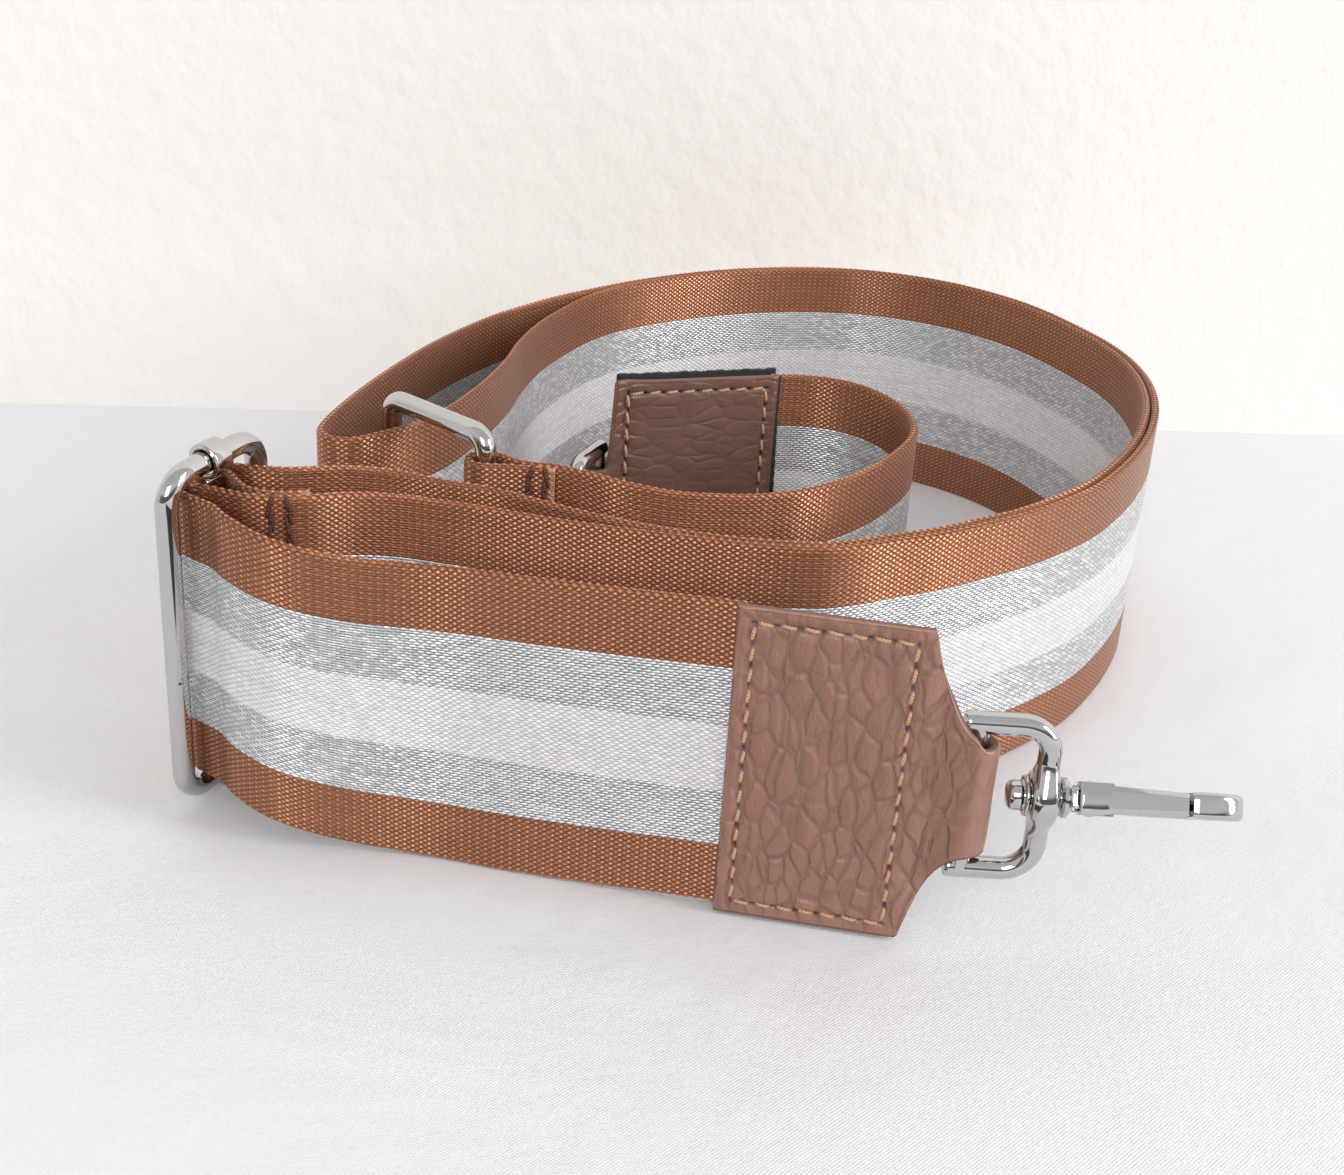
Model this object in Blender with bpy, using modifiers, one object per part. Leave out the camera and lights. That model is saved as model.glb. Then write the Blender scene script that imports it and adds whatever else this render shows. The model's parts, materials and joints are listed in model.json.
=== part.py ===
"""Detachable bag strap: striped webbing standing on edge in loops, with a slider, a joining
ring, two leather end tabs and two swivel snap hooks. Metres, +Z up, origin on the floor under
the middle of the whole strap."""
import bpy
import bmesh
from math import acos, ceil, cos, pi, radians, sin
from mathutils import Matrix, Vector

MM = 0.001
GAP = 0.0003

# Webbing: woven strap, laid on its edge.
WEB_WIDTH = 0.050
WEB_THICK = 0.0014
LAYER_STEP = WEB_THICK + GAP
LONGEST_FACET = 0.006
TURN_PER_FACET = radians(13.0)
SMALLEST_STEP = 1e-7
UP = Vector((0.0, 0.0, 1.0))
MIDDLE = Vector((0.00019, -0.00215, -0.000055))

# Lean: the wire lifts the webbing at the slider, and the two tip toward the front there. In the
# right bend the webbing's foot is drawn back under its upper edge.
LEAN = radians(6.5)
LEAN_WAY = Vector((0.4, -1.0, 0.0)).normalized()
LEAN_NONE = -0.032
LEAN_FULL = -0.070
LEAN_BEHIND = -0.052
BEND_LEAN = radians(8.5)
BEND_WAY = Vector((-0.4, -1.0, 0.0)).normalized()
BEND_NONE = Vector((-0.010, 0.035))
BEND_FULL = Vector((0.045, -0.010))
BEND_FRONT = -0.071

# Slider: bent wire frame with a flat centre bar whose ends are rolled round the wire.
SLIDER_WIRE = 0.0017
SLIDER_HALF = 0.00972
SLIDER_TURN = Vector((0.437, 0.900, 0.0)).normalized()
SLIDER_CENTRE = Vector((-0.0786, -0.0642, 0.0))
SLIDER_CORNER = 0.0045
BAR_THICK = 0.0009
BAR_HALF = 0.0018
BAR_SLACK = 0.0002
SLIDER_FLOOR = 0.0003
BAR_ROLL = radians(275.0)
BAR_SEGMENTS = 14

# Joining ring between the long and the short webbing.
RING_WIRE = 0.0017
RING_NEAR = Vector((-0.0386, -0.0503, 0.0))
RING_FAR = Vector((-0.0560, -0.0355, 0.0))
RING_FLOOR = 0.0003
RING_INSIDE = 0.0520
RING_CORNER = 0.0028
WRAP_STEPS = 6

# Leather end tabs.
LEATHER = 0.0014
BACKING = 0.0010
BACKING_TALL = 0.0516
BACKING_EDGE = 0.0004
LEATHER_TALL = BACKING_TALL - 2 * BACKING_EDGE
NECK_TALL = 0.0186
TAB_SQUARE = 0.0270
TAPER_LONG = 0.0065
TAPER_END = TAB_SQUARE + TAPER_LONG
BAR_PAST_TAPER = 0.0010
BAR_REACH = TAPER_END + BAR_PAST_TAPER
WEB_INSIDE = 0.0208
TONGUE_GAP = 0.0010
TONGUE_END = WEB_INSIDE + TONGUE_GAP
BACKING_SHORT = 0.0008
BACKING_LONG = TAB_SQUARE - BACKING_SHORT
BACKING_PROUD = 0.0006
TAPER_STEPS = 7
FOLD_STEPS = 10
TAB_LIFT = (BACKING_TALL - WEB_WIDTH) / 2
TAB_A_START = Vector((0.0015, -0.0898, 0.0))
TAB_A_ALONG = Vector((0.988, -0.152, 0.0)).normalized()
TAB_B_START = Vector((0.0090, 0.0103, 0.0))
TAB_B_ALONG = Vector((-0.951, -0.309, 0.0)).normalized()

# Stitching.
THREAD = 0.0003
THREAD_LIFT = 0.0001
STITCH_INSET = 0.0024
STITCH_LONG = 0.0224
STITCH_CORNER = 0.0012
LOOP_STITCH_TALL = 0.0440
LOOP_STITCH_WIDE = 0.0026
SLIDER_STITCH_SHARE = 0.4
RING_STITCH_SHARE = 0.7

# Swivel snap hooks. Places run out along the hook from the middle of the eye's bar, and the
# gate's side is the low side.
EYE_WIRE = 0.00165
EYE_TALL = 0.0250
EYE_DEEP = 0.0104
EYE_OUTER_CORNER = 0.0046
EYE_BAR_CORNER = 0.0020
BOSS_RADIUS = 0.0038
BOSS_LONG = 0.0040
BOSS_START = EYE_DEEP - BOSS_LONG / 2
BOSS_END = BOSS_START + BOSS_LONG
BORE_SLACK = 0.00015
STEM_RADIUS = 0.0013
WASHER_RADIUS = 0.0030
WASHER_THICK = 0.0006
WASHER_START = BOSS_START - GAP - WASHER_THICK
HEAD_RADIUS = 0.0022
HEAD_LONG = 0.0020
HEAD_END = WASHER_START - GAP
HEAD_START = HEAD_END - HEAD_LONG
COLLAR_RADIUS = 0.0029
COLLAR_LONG = 0.0011
COLLAR_START = BOSS_END + GAP
COLLAR_END = COLLAR_START + COLLAR_LONG
LUG_SINK = 0.0002
LUG_LONG = 0.0048
LUG_START = COLLAR_END - LUG_SINK
LUG_END = LUG_START + LUG_LONG
LUG_LOW = 0.0036
LUG_HIGH = 0.0026
LUG_HALF = 0.0015
SLOT_HALF = 0.0008
SLOT_WALL = 0.0010
SLOT_START = LUG_START + SLOT_WALL
SLOT_DEEP = 0.0031
PIN_INSET = 0.0028
PIN_DEEP = 0.0014
PIN_ALONG = LUG_START + PIN_INSET
PIN_SIDE = LUG_LOW - PIN_DEEP
PIN_RADIUS = 0.0007
PIN_SLACK = 0.00015
GATE_LONG = 0.0144
GATE_PLATE = 0.0008
GATE_CHEEK = 0.0005
GATE_CHEEK_LONG = 0.0046
GATE_CHEEK_DEEP = 0.0036
GATE_EDGE = 0.0001
GATE_HALF = LUG_HALF + GAP + GATE_CHEEK + GATE_EDGE
GATE_TIP_HALF = 0.0020
GATE_OVER_LUG = 0.0009
GATE_OUTER = LUG_LOW + GATE_OVER_LUG + GATE_PLATE
PIN_HALF = GATE_HALF
HOOK_WIRE = 0.0019
HOOK_BELLY = 0.0052
HOOK_TIP_GAP = 0.0009
HOOK_TIP_SHARE = 0.719
HOOK_LONG = (SLOT_WALL + GATE_LONG + HOOK_TIP_GAP) / HOOK_TIP_SHARE
HOOK_LINE_SHARES = (
    (0.089, 0.077), (0.205, 0.50), (0.339, 0.846), (0.496, 1.0), (0.656, 0.981), (0.808, 0.769),
    (0.933, 0.365), (1.0, -0.077), (0.969, -0.5), (0.871, -0.712), (HOOK_TIP_SHARE, -0.75))
SPRING_WIRE = 0.0002
SPRING_RADIUS = 0.00125
SPRING_TURNS = 1.5
SPRING_POINTS = 10
SPRING_PITCH = 0.00045
SPRING_LEG = 0.0040
SPRING_ARM = 0.0018
HOOK_A_ALONG = Vector((1.0, 0.0, 0.0))
HOOK_A_ROLL = radians(-33.0)
HOOK_B_ALONG = Vector((-0.35, -0.937, 0.0)).normalized()
HOOK_B_ROLL = 0.0
CURVE_SIDES = 2
BUTTON_SIDES = 24

# Routes on the floor, chosen by hand: across, back and the height of the lower edge, in mm.
SEWN_LOOP = (
    (14.8, -2.5, 5.9), (12.5, -3.1, 6.0), (10.1, -3.6, 6.1), (7.8, -3.5, 6.2), (5.4, -2.3, 6.2),
    (3.4, 0.2, 6.2), (2.2, 2.1, 6.2), (1.5, 2.85, 6.2), (0.75, 3.05, 6.2), (-0.1, 2.75, 6.2),
    (-0.6, 2.1, 6.2), (-1.3, 0.6, 6.2), (-2.05, -1.0, 6.2), (-2.2, -1.9, 6.2), (-1.75, -2.75, 6.2),
    (-0.8, -3.1, 6.2), (0.6, -3.4, 6.2), (3.3, -4.4, 6.2), (6.6, -5.35, 6.2), (10.1, -5.4, 6.1),
    (12.6, -4.95, 6.0), (15.1, -4.3, 5.9))
MIDDLE_RUN = (
    (-57.1, -65.6, 5.0), (-50.8, -64.3, 3.9), (-43.8, -64.3, 2.7), (-35.8, -64.7, 1.6),
    (-28.0, -65.0, 0.8), (-21.0, -65.3, 0.3), (-12.6, -66.0, 0.0))
BIG_LOOP = (
    (-5.5, -66.9, 0.0), (3.0, -68.0, 0.0), (13.7, -67.7, 0.0), (19.5, -65.8, 0.0),
    (26.2, -62.1, 0.0), (33.3, -58.3, 0.0), (40.6, -53.2, 0.0), (48.2, -47.5, 0.0),
    (54.4, -41.8, 0.0), (61.3, -34.3, 0.0), (67.2, -25.6, 0.0), (73.5, -13.9, 0.0),
    (79.1, 0.2, 0.0), (82.6, 14.5, 0.0), (83.6, 30.0, 0.0), (81.5, 45.4, 0.0), (75.6, 60.9, 0.0),
    (68.4, 74.2, 0.0), (60.2, 83.4, 0.0), (51.2, 90.0, 0.0), (41.3, 94.0, 0.0),
    (30.3, 95.8, 0.0), (17.6, 94.4, 0.0), (5.2, 90.4, 0.0), (-7.2, 83.8, 0.0),
    (-18.5, 75.4, 0.0), (-25.5, 68.9, 0.0))
LEFT_TURN = (
    (-36.7, 56.8, 0.0), (-42.5, 48.9, 0.0), (-47.8, 40.3, 0.1), (-53.4, 26.7, 0.6),
    (-57.4, 13.2, 1.4), (-61.0, -3.7, 2.5), (-63.5, -17.5, 3.3), (-65.4, -30.9, 4.0),
    (-66.4, -38.3, 4.0), (-66.3, -42.6, 4.0), (-64.6, -45.2, 4.0), (-61.9, -45.8, 4.0),
    (-59.2, -44.6, 4.0), (-55.8, -41.2, 4.0), (-52.0, -36.7, 4.0), (-49.2, -31.9, 4.0),
    (-47.0, -26.3, 4.0), (-45.6, -21.0, 3.8), (-43.5, -10.0, 3.1), (-41.6, 4.5, 2.2),
    (-40.5, 20.4, 1.3), (-37.9, 36.5, 0.5), (-34.0, 49.3, 0.1), (-29.8, 59.3, 0.0))
BACK_RUN = (
    (-12.5, -63.6, 0.0), (-18.9, -61.9, 0.3), (-26.2, -59.8, 0.8), (-35.7, -57.3, 1.7),
    (-45.1, -56.2, 2.9), (-52.5, -54.9, 4.1), (-59.3, -55.0, 5.1), (-64.3, -56.6, 5.7))
SLIDER_TURN_ROUTE = (
    (9.4, 6.0, 6.0), (5.4, 5.5, 6.2), (0.5, 5.6, 6.2), (-2.9, 3.2, 6.2), (-4.3, -0.5, 6.2),
    (-4.2, -4.3, 6.2), (-1.3, -7.1, 6.2), (2.5, -9.8, 6.2))
FRONT_RUN = (
    (-73.6, -77.0, 6.1), (-70.9, -79.3, 5.8), (-67.9, -81.0, 5.2), (-65.0, -81.9, 4.5),
    (-60.3, -82.2, 3.2), (-53.8, -81.8, 1.5), (-47.0, -81.7, 0.5), (-40.0, -82.4, 0.0),
    (-30.0, -84.4, 0.0), (-15.0, -87.0, 0.3))
RING_TAIL = (
    (-27.6, -53.3, 4.0), (-31.0, -52.95, 4.0), (-34.3, -52.8, 4.0), (-37.0, -52.95, 4.0))
SHORT_RUN = (
    (-36.3, -48.4, 4.0), (-33.6, -50.4, 4.0), (-31.0, -51.15, 4.0), (-27.6, -51.5, 4.0),
    (-22.0, -52.9, 3.7), (-17.0, -53.9, 3.0), (-8.5, -53.2, 1.5), (0.7, -50.3, 0.4),
    (6.0, -48.2, 0.0), (12.2, -45.1, 0.0), (19.2, -39.2, 0.0), (25.9, -30.4, 0.0),
    (31.3, -20.0, 0.0), (33.4, -12.6, 0.0), (33.2, -5.0, 0.0), (30.7, 3.1, 0.0),
    (25.4, 8.9, 0.3), (18.2, 11.4, 0.6))


def clear_scene():
    """Empty the scene that the file opens with."""
    for thing in list(bpy.data.objects):
        bpy.data.objects.remove(thing, do_unlink=True)


def make_collections():
    """One collection for the strap's pieces and one for the cutters."""
    made = []
    for name in ("detachable_bag_strap", "cutters"):
        collection = bpy.data.collections.new(name)
        bpy.context.scene.collection.children.link(collection)
        made.append(collection)
    return made


def finish_material(name, colour, roughness, metallic=0.0):
    """A plain surface in the piece's own colour."""
    material = bpy.data.materials.new(name)
    material.use_nodes = True
    shader = material.node_tree.nodes["Principled BSDF"]
    shader.inputs["Base Color"].default_value = (*colour, 1.0)
    shader.inputs["Roughness"].default_value = roughness
    shader.inputs["Metallic"].default_value = metallic
    return material


def add_piece(name, data, material, parent=None, collection=None):
    """Put one named sub-part in the strap's collection."""
    data.materials.clear()
    data.materials.append(material)
    piece = bpy.data.objects.new(name, data)
    (collection or PARTS).objects.link(piece)
    piece.parent = parent
    return piece


def add_empty(name, place, parent=None):
    """A joint's own frame: its origin and axes are given by a matrix."""
    empty = bpy.data.objects.new(name, None)
    PARTS.objects.link(empty)
    empty.parent = parent
    empty.matrix_basis = place
    return empty


def frame_at(point, along, up=UP):
    """A frame whose X runs along the given direction and whose Z is as near up as it can be."""
    side = up.cross(along).normalized()
    top = along.cross(side).normalized()
    turn = Matrix((along, side, top)).transposed().to_4x4()
    return Matrix.Translation(point) @ turn


def on_floor(point):
    """A plan point of the photo's layout, moved so that the strap's middle is the origin."""
    return point - MIDDLE


def route_points(rows, base=Vector()):
    """Hand-set rows of across, back and lift, in metres."""
    return [on_floor(base + Vector(row) * MM) for row in rows]


def smooth(points):
    """Fill a hand-set route with short facets, on one smooth curve through its points."""
    filled = [points[0]]
    for index in range(len(points) - 1):
        before = points[max(index - 1, 0)]
        start = points[index]
        end = points[index + 1]
        after = points[min(index + 2, len(points) - 1)]
        turn = (end - before).angle(after - start)
        span = (end - start).length
        pieces = max(1, ceil(turn / TURN_PER_FACET), ceil(span / LONGEST_FACET))
        lead = (end - before) * span / max((end - before).length, SMALLEST_STEP)
        trail = (after - start) * span / max((after - start).length, SMALLEST_STEP)
        for step in range(1, pieces + 1):
            t = step / pieces
            filled.append(
                start * (2 * t**3 - 3 * t**2 + 1) + lead * (t**3 - 2 * t**2 + t)
                + end * (3 * t**2 - 2 * t**3) + trail * (t**3 - t**2))
    return filled


def beside(points, step):
    """The same route moved sideways, to the left of its own direction."""
    moved = []
    for index, point in enumerate(points):
        ahead = points[min(index + 1, len(points) - 1)] - points[max(index - 1, 0)]
        moved.append(point + Vector((-ahead.y, ahead.x, 0.0)).normalized() * step)
    return moved


def ramp(value, none, full):
    """A smooth share from nothing at one place to all at another."""
    share = min(max((value - none) / (full - none), 0.0), 1.0)
    return share**2 * (3 - 2 * share)


def leaned(point, height):
    """A place at a height above a point of the long route, along the strap's leaning width."""
    slider = bend = 0.0
    if point.y < LEAN_BEHIND:
        slider = LEAN * ramp(point.x, LEAN_NONE, LEAN_FULL)
    if point.y > BEND_FRONT:
        bend = BEND_LEAN * ramp(point.x, BEND_NONE.x, BEND_FULL.x)
        bend *= ramp(point.y, BEND_NONE.y, BEND_FULL.y)
    tip = LEAN_WAY * sin(slider) * (point.z + height) + BEND_WAY * sin(bend) * (height - WEB_WIDTH)
    return point + tip + UP * cos(slider + bend) * height


def lean_turn(pivot):
    """The whole lean, as a turn about a level line on the floor under a point."""
    turn = Matrix.Rotation(LEAN, 4, UP.cross(LEAN_WAY))
    foot = Vector((pivot.x, pivot.y, 0.0))
    return Matrix.Translation(foot) @ turn @ Matrix.Translation(-foot)


def long_route():
    """The long webbing: sewn loop, middle run, big loop, left turn, back again, slider, front run."""
    sewn = route_points(SEWN_LOOP, SLIDER_CENTRE)
    turn = route_points(SLIDER_TURN_ROUTE, SLIDER_CENTRE)
    outer = smooth(route_points(BIG_LOOP))
    inner = list(reversed(beside(outer, LAYER_STEP)))
    lift = Vector((0.0, 0.0, TAB_LIFT))
    tab_in = on_floor(TAB_A_START + lift)
    tab_end = tab_in + TAB_A_ALONG * WEB_INSIDE
    first = smooth(sewn + route_points(MIDDLE_RUN) + outer[:1])
    left = smooth(outer[-1:] + route_points(LEFT_TURN) + inner[:1])
    front = turn + route_points(FRONT_RUN) + [tab_in, tab_end]
    last = smooth(inner[-1:] + route_points(BACK_RUN) + front)
    return first[:-1] + outer[:-1] + left[:-1] + inner[:-1] + last


def short_route():
    """The short webbing: sewn loop round the ring, front run, small turn, back run to tab B."""
    reach = RING_WIRE + GAP + WEB_THICK / 2
    lift = Vector((0.0, 0.0, RING_TAIL[0][2] * MM))
    wrap = [on_floor(RING_NEAR + lift + Vector((cos(a), sin(a), 0.0)) * reach)
            for a in (-pi / 2 - pi * step / WRAP_STEPS for step in range(WRAP_STEPS + 1))]
    raise_tab = Vector((0.0, 0.0, TAB_LIFT))
    tab_in = on_floor(TAB_B_START + raise_tab)
    tab_end = tab_in + TAB_B_ALONG * WEB_INSIDE
    return smooth(route_points(RING_TAIL) + wrap + route_points(SHORT_RUN) + [tab_in, tab_end])


def band(name, lower, upper, thick, material, parent=None):
    """A flat band: a chain of edges raised to its other edge, then given its thickness."""
    sheet = bmesh.new()
    row = [sheet.verts.new(point) for point in lower]
    chain = [sheet.edges.new(pair) for pair in zip(row, row[1:])]
    raised = bmesh.ops.extrude_edge_only(sheet, edges=chain)["geom"]
    tops = {}
    for face in (item for item in raised if isinstance(item, bmesh.types.BMFace)):
        for edge in face.edges:
            ends = [vert for vert in edge.verts if vert in row]
            if len(ends) == 1:
                tops[ends[0]] = edge.other_vert(ends[0])
    for vert, point in zip(row, upper):
        tops[vert].co = point
    bmesh.ops.recalc_face_normals(sheet, faces=sheet.faces)
    mesh = bpy.data.meshes.new(name)
    sheet.to_mesh(mesh)
    sheet.free()
    piece = add_piece(name, mesh, material, parent)
    solid = piece.modifiers.new("thickness", "SOLIDIFY")
    solid.thickness = thick
    solid.offset = 0.0
    return piece


def build_webbing():
    """Both lengths of webbing on edge: each route is a lower edge, and only the long one leans."""
    route = long_route()
    lower, upper = ([leaned(point, height) for point in route] for height in (0.0, WEB_WIDTH))
    band("webbing_long", lower, upper, WEB_THICK, WEAVE)
    route = short_route()
    band("webbing_short", route, [point + UP * WEB_WIDTH for point in route], WEB_THICK, WEAVE)


def wire(name, points, radius, material, parent=None, closed=True):
    """A round wire along straight facets."""
    data = bpy.data.curves.new(name, "CURVE")
    data.dimensions = "3D"
    data.bevel_depth = radius
    data.bevel_resolution = CURVE_SIDES
    data.use_fill_caps = True
    line = data.splines.new("POLY")
    line.points.add(len(points) - 1)
    for spot, point in zip(line.points, points):
        spot.co = (*point, 1.0)
    line.use_cyclic_u = closed
    return add_piece(name, data, material, parent)


def to_mesh(piece):
    """Turn a wire into a welded mesh object that can be cut and joined."""
    graph = bpy.context.evaluated_depsgraph_get()
    mesh = bpy.data.meshes.new_from_object(piece.evaluated_get(graph))
    weld = bmesh.new()
    weld.from_mesh(mesh)
    bmesh.ops.remove_doubles(weld, verts=weld.verts, dist=SMALLEST_STEP)
    bmesh.ops.recalc_face_normals(weld, faces=weld.faces)
    weld.to_mesh(mesh)
    weld.free()
    name, material, parent = piece.name, piece.data.materials[0], piece.parent
    collection = piece.users_collection[0]
    curve = piece.data
    bpy.data.objects.remove(piece, do_unlink=True)
    bpy.data.curves.remove(curve)
    mesh.name = name
    return add_piece(name, mesh, material, parent, collection)


def rounded_loop(wide, tall, corners, steps=4):
    """A rectangle with round corners in X and Z, from its lower left corner round."""
    centres = ((-1, -1, 180), (1, -1, 270), (1, 1, 0), (-1, 1, 90))
    loop = []
    for (across, up, start), radius in zip(centres, corners):
        for step in range(steps + 1):
            angle = radians(start + 90 * step / steps)
            loop.append(Vector((
                across * (wide / 2 - radius) + radius * cos(angle), 0.0,
                up * (tall / 2 - radius) + radius * sin(angle))))
    return loop


def box_mesh(name, low, high):
    """A box between two corners."""
    block = bmesh.new()
    bmesh.ops.create_cube(block, size=1.0)
    low, high = Vector(low), Vector(high)
    for vert in block.verts:
        vert.co = Vector(a + (b - a) * (c + 0.5) for a, b, c in zip(low, high, vert.co))
    mesh = bpy.data.meshes.new(name)
    block.to_mesh(mesh)
    block.free()
    return mesh


def rod_mesh(name, start, end, radius, sides=BUTTON_SIDES):
    """A round bar between two points."""
    start, end = Vector(start), Vector(end)
    rod = bmesh.new()
    bmesh.ops.create_cone(rod, cap_ends=True, segments=sides, radius1=radius, radius2=radius,
                          depth=(end - start).length)
    turn = (end - start).to_track_quat("Z", "Y").to_matrix().to_4x4()
    rod.transform(Matrix.Translation((start + end) / 2) @ turn)
    mesh = bpy.data.meshes.new(name)
    rod.to_mesh(mesh)
    rod.free()
    return mesh


def cutter(name, mesh, parent):
    """A guide body that only cuts or joins others."""
    piece = add_piece(name, mesh, METAL, parent, CUTTERS)
    piece.hide_render = True
    piece.display_type = "WIRE"
    return piece


def combine(piece, other, operation):
    """Cut one body by another, or join the two."""
    step = piece.modifiers.new(other.name, "BOOLEAN")
    step.operation = operation
    step.object = other


def build_slider():
    """Wire frame and the centre bar that the webbing turns round."""
    inside = WEB_WIDTH + 2 * (GAP + BAR_THICK + BAR_SLACK)
    tall = inside + 2 * SLIDER_WIRE
    low = SLIDER_FLOOR + BAR_THICK + BAR_SLACK + SLIDER_WIRE
    middle = on_floor(SLIDER_CENTRE + Vector((0.0, 0.0, low + tall / 2)))
    place = add_empty("slider_tilt_axis", lean_turn(middle) @ frame_at(middle, SLIDER_TURN))
    loop = rounded_loop(2 * SLIDER_HALF, tall, (SLIDER_CORNER,) * 4)
    wire("slider_frame", loop, SLIDER_WIRE, METAL, place)
    roll = SLIDER_WIRE + BAR_SLACK + BAR_THICK / 2
    angles = [-pi / 2 - BAR_ROLL * step / BAR_SEGMENTS for step in range(BAR_SEGMENTS + 1)]
    upper = [Vector((0.0, roll * cos(angle), tall / 2 + roll * sin(angle))) for angle in angles]
    lower = [Vector((0.0, point.y, -point.z)) for point in reversed(upper)]
    half = Vector((BAR_HALF, 0.0, 0.0))
    line = lower + upper
    band("slider_centre_bar", [p - half for p in line], [p + half for p in line], BAR_THICK, METAL, place)


def build_ring():
    """The rectangular ring that joins the two lengths of webbing."""
    tall = RING_INSIDE + 2 * RING_WIRE
    across = RING_FAR - RING_NEAR
    lift = Vector((0.0, 0.0, RING_FLOOR + RING_WIRE + tall / 2))
    place = add_empty("ring_swing_axis", frame_at(on_floor(RING_NEAR + lift), across.normalized()))
    loop = rounded_loop(across.length, tall, (RING_CORNER,) * 4)
    shift = Vector((across.length / 2, 0.0, 0.0))
    wire("connecting_ring", [point + shift for point in loop], RING_WIRE, METAL, place)


def leather_half(along):
    """Half the leather's height: square over the webbing, then a hollow curve down to the neck."""
    if along <= TAB_SQUARE:
        return LEATHER_TALL / 2
    share = min((along - TAB_SQUARE) / TAPER_LONG, 1.0)
    drop = LEATHER_TALL / 2 - NECK_TALL / 2
    return NECK_TALL / 2 + drop * (1 - sin(share * pi / 2))


def build_tab(letter, start, along, side):
    """One end tab: leather folded round the hook's bar, black backing and a row of stitches."""
    lift = Vector((0.0, 0.0, TAB_LIFT + WEB_WIDTH / 2))
    place = add_empty("tab_%s_frame" % letter, frame_at(on_floor(start + lift), along))
    front = -side
    over = WEB_THICK / 2 + GAP + LEATHER / 2
    fold = EYE_WIRE + GAP + LEATHER / 2
    taper = [TAB_SQUARE + TAPER_LONG * step / TAPER_STEPS for step in range(TAPER_STEPS + 1)]
    line = [(0.0, over), (WEB_INSIDE, over)]
    for spot in taper:
        share = (spot - TAB_SQUARE) / TAPER_LONG
        line.append((spot, over + (fold - over) * share))
    for step in range(FOLD_STEPS + 1):
        angle = pi / 2 - pi * step / FOLD_STEPS
        line.append((BAR_REACH + fold * cos(angle), fold * sin(angle)))
    halves = [leather_half(spot) for spot, off in line]
    tongue = [(TAPER_END - LEATHER, -fold + GAP), (TAB_SQUARE + 2 * LEATHER, -over),
              (TAB_SQUARE + GAP, -GAP), (BACKING_LONG - LEATHER, 0.0), (TONGUE_END, 0.0)]
    line += tongue
    halves += [NECK_TALL / 2] * len(tongue)
    lower = [Vector((spot, front * off, -half)) for (spot, off), half in zip(line, halves)]
    upper = [Vector((spot, front * off, half)) for (spot, off), half in zip(line, halves)]
    band("tab_leather_%s" % letter, lower, upper, LEATHER, HIDE, place)
    off = -front * (WEB_THICK / 2 + GAP + BACKING / 2)
    ends = (-BACKING_PROUD, BACKING_LONG)
    low = min(off - BACKING / 2, off + BACKING / 2)
    mesh = box_mesh("tab_backing_%s" % letter, (ends[0], low, -BACKING_TALL / 2),
                    (ends[1], low + BACKING, BACKING_TALL / 2))
    add_piece("tab_backing_%s" % letter, mesh, BACKING_BLACK, place)
    height = front * (over + LEATHER / 2 + THREAD_LIFT + THREAD)
    loop = rounded_loop(STITCH_LONG, LEATHER_TALL - 2 * STITCH_INSET, (STITCH_CORNER,) * 4, 2)
    shift = Vector((STITCH_INSET + STITCH_LONG / 2, height, 0.0))
    wire("tab_stitching_%s" % letter, [point + shift for point in loop], THREAD, THREAD_TAN, place)
    return on_floor(start + lift + along * BAR_REACH)


def build_eye(letter, place):
    """The hook's eye: a D of wire with a boss bored for the swivel."""
    corners = (EYE_BAR_CORNER, EYE_OUTER_CORNER, EYE_OUTER_CORNER, EYE_BAR_CORNER)
    shift = Vector((EYE_DEEP / 2, 0.0, 0.0))
    loop = [point + shift for point in rounded_loop(EYE_DEEP, EYE_TALL, corners)]
    eye = to_mesh(wire("eye_%s" % letter, loop, EYE_WIRE, METAL, place))
    boss = rod_mesh("boss", (BOSS_START, 0, 0), (BOSS_END, 0, 0), BOSS_RADIUS)
    bore = rod_mesh("bore", (BOSS_START - EYE_WIRE, 0, 0), (BOSS_END + EYE_WIRE, 0, 0),
                    STEM_RADIUS + BORE_SLACK)
    combine(eye, cutter("boss_%s" % letter, boss, place), "UNION")
    combine(eye, cutter("bore_%s" % letter, bore, place), "DIFFERENCE")


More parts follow.
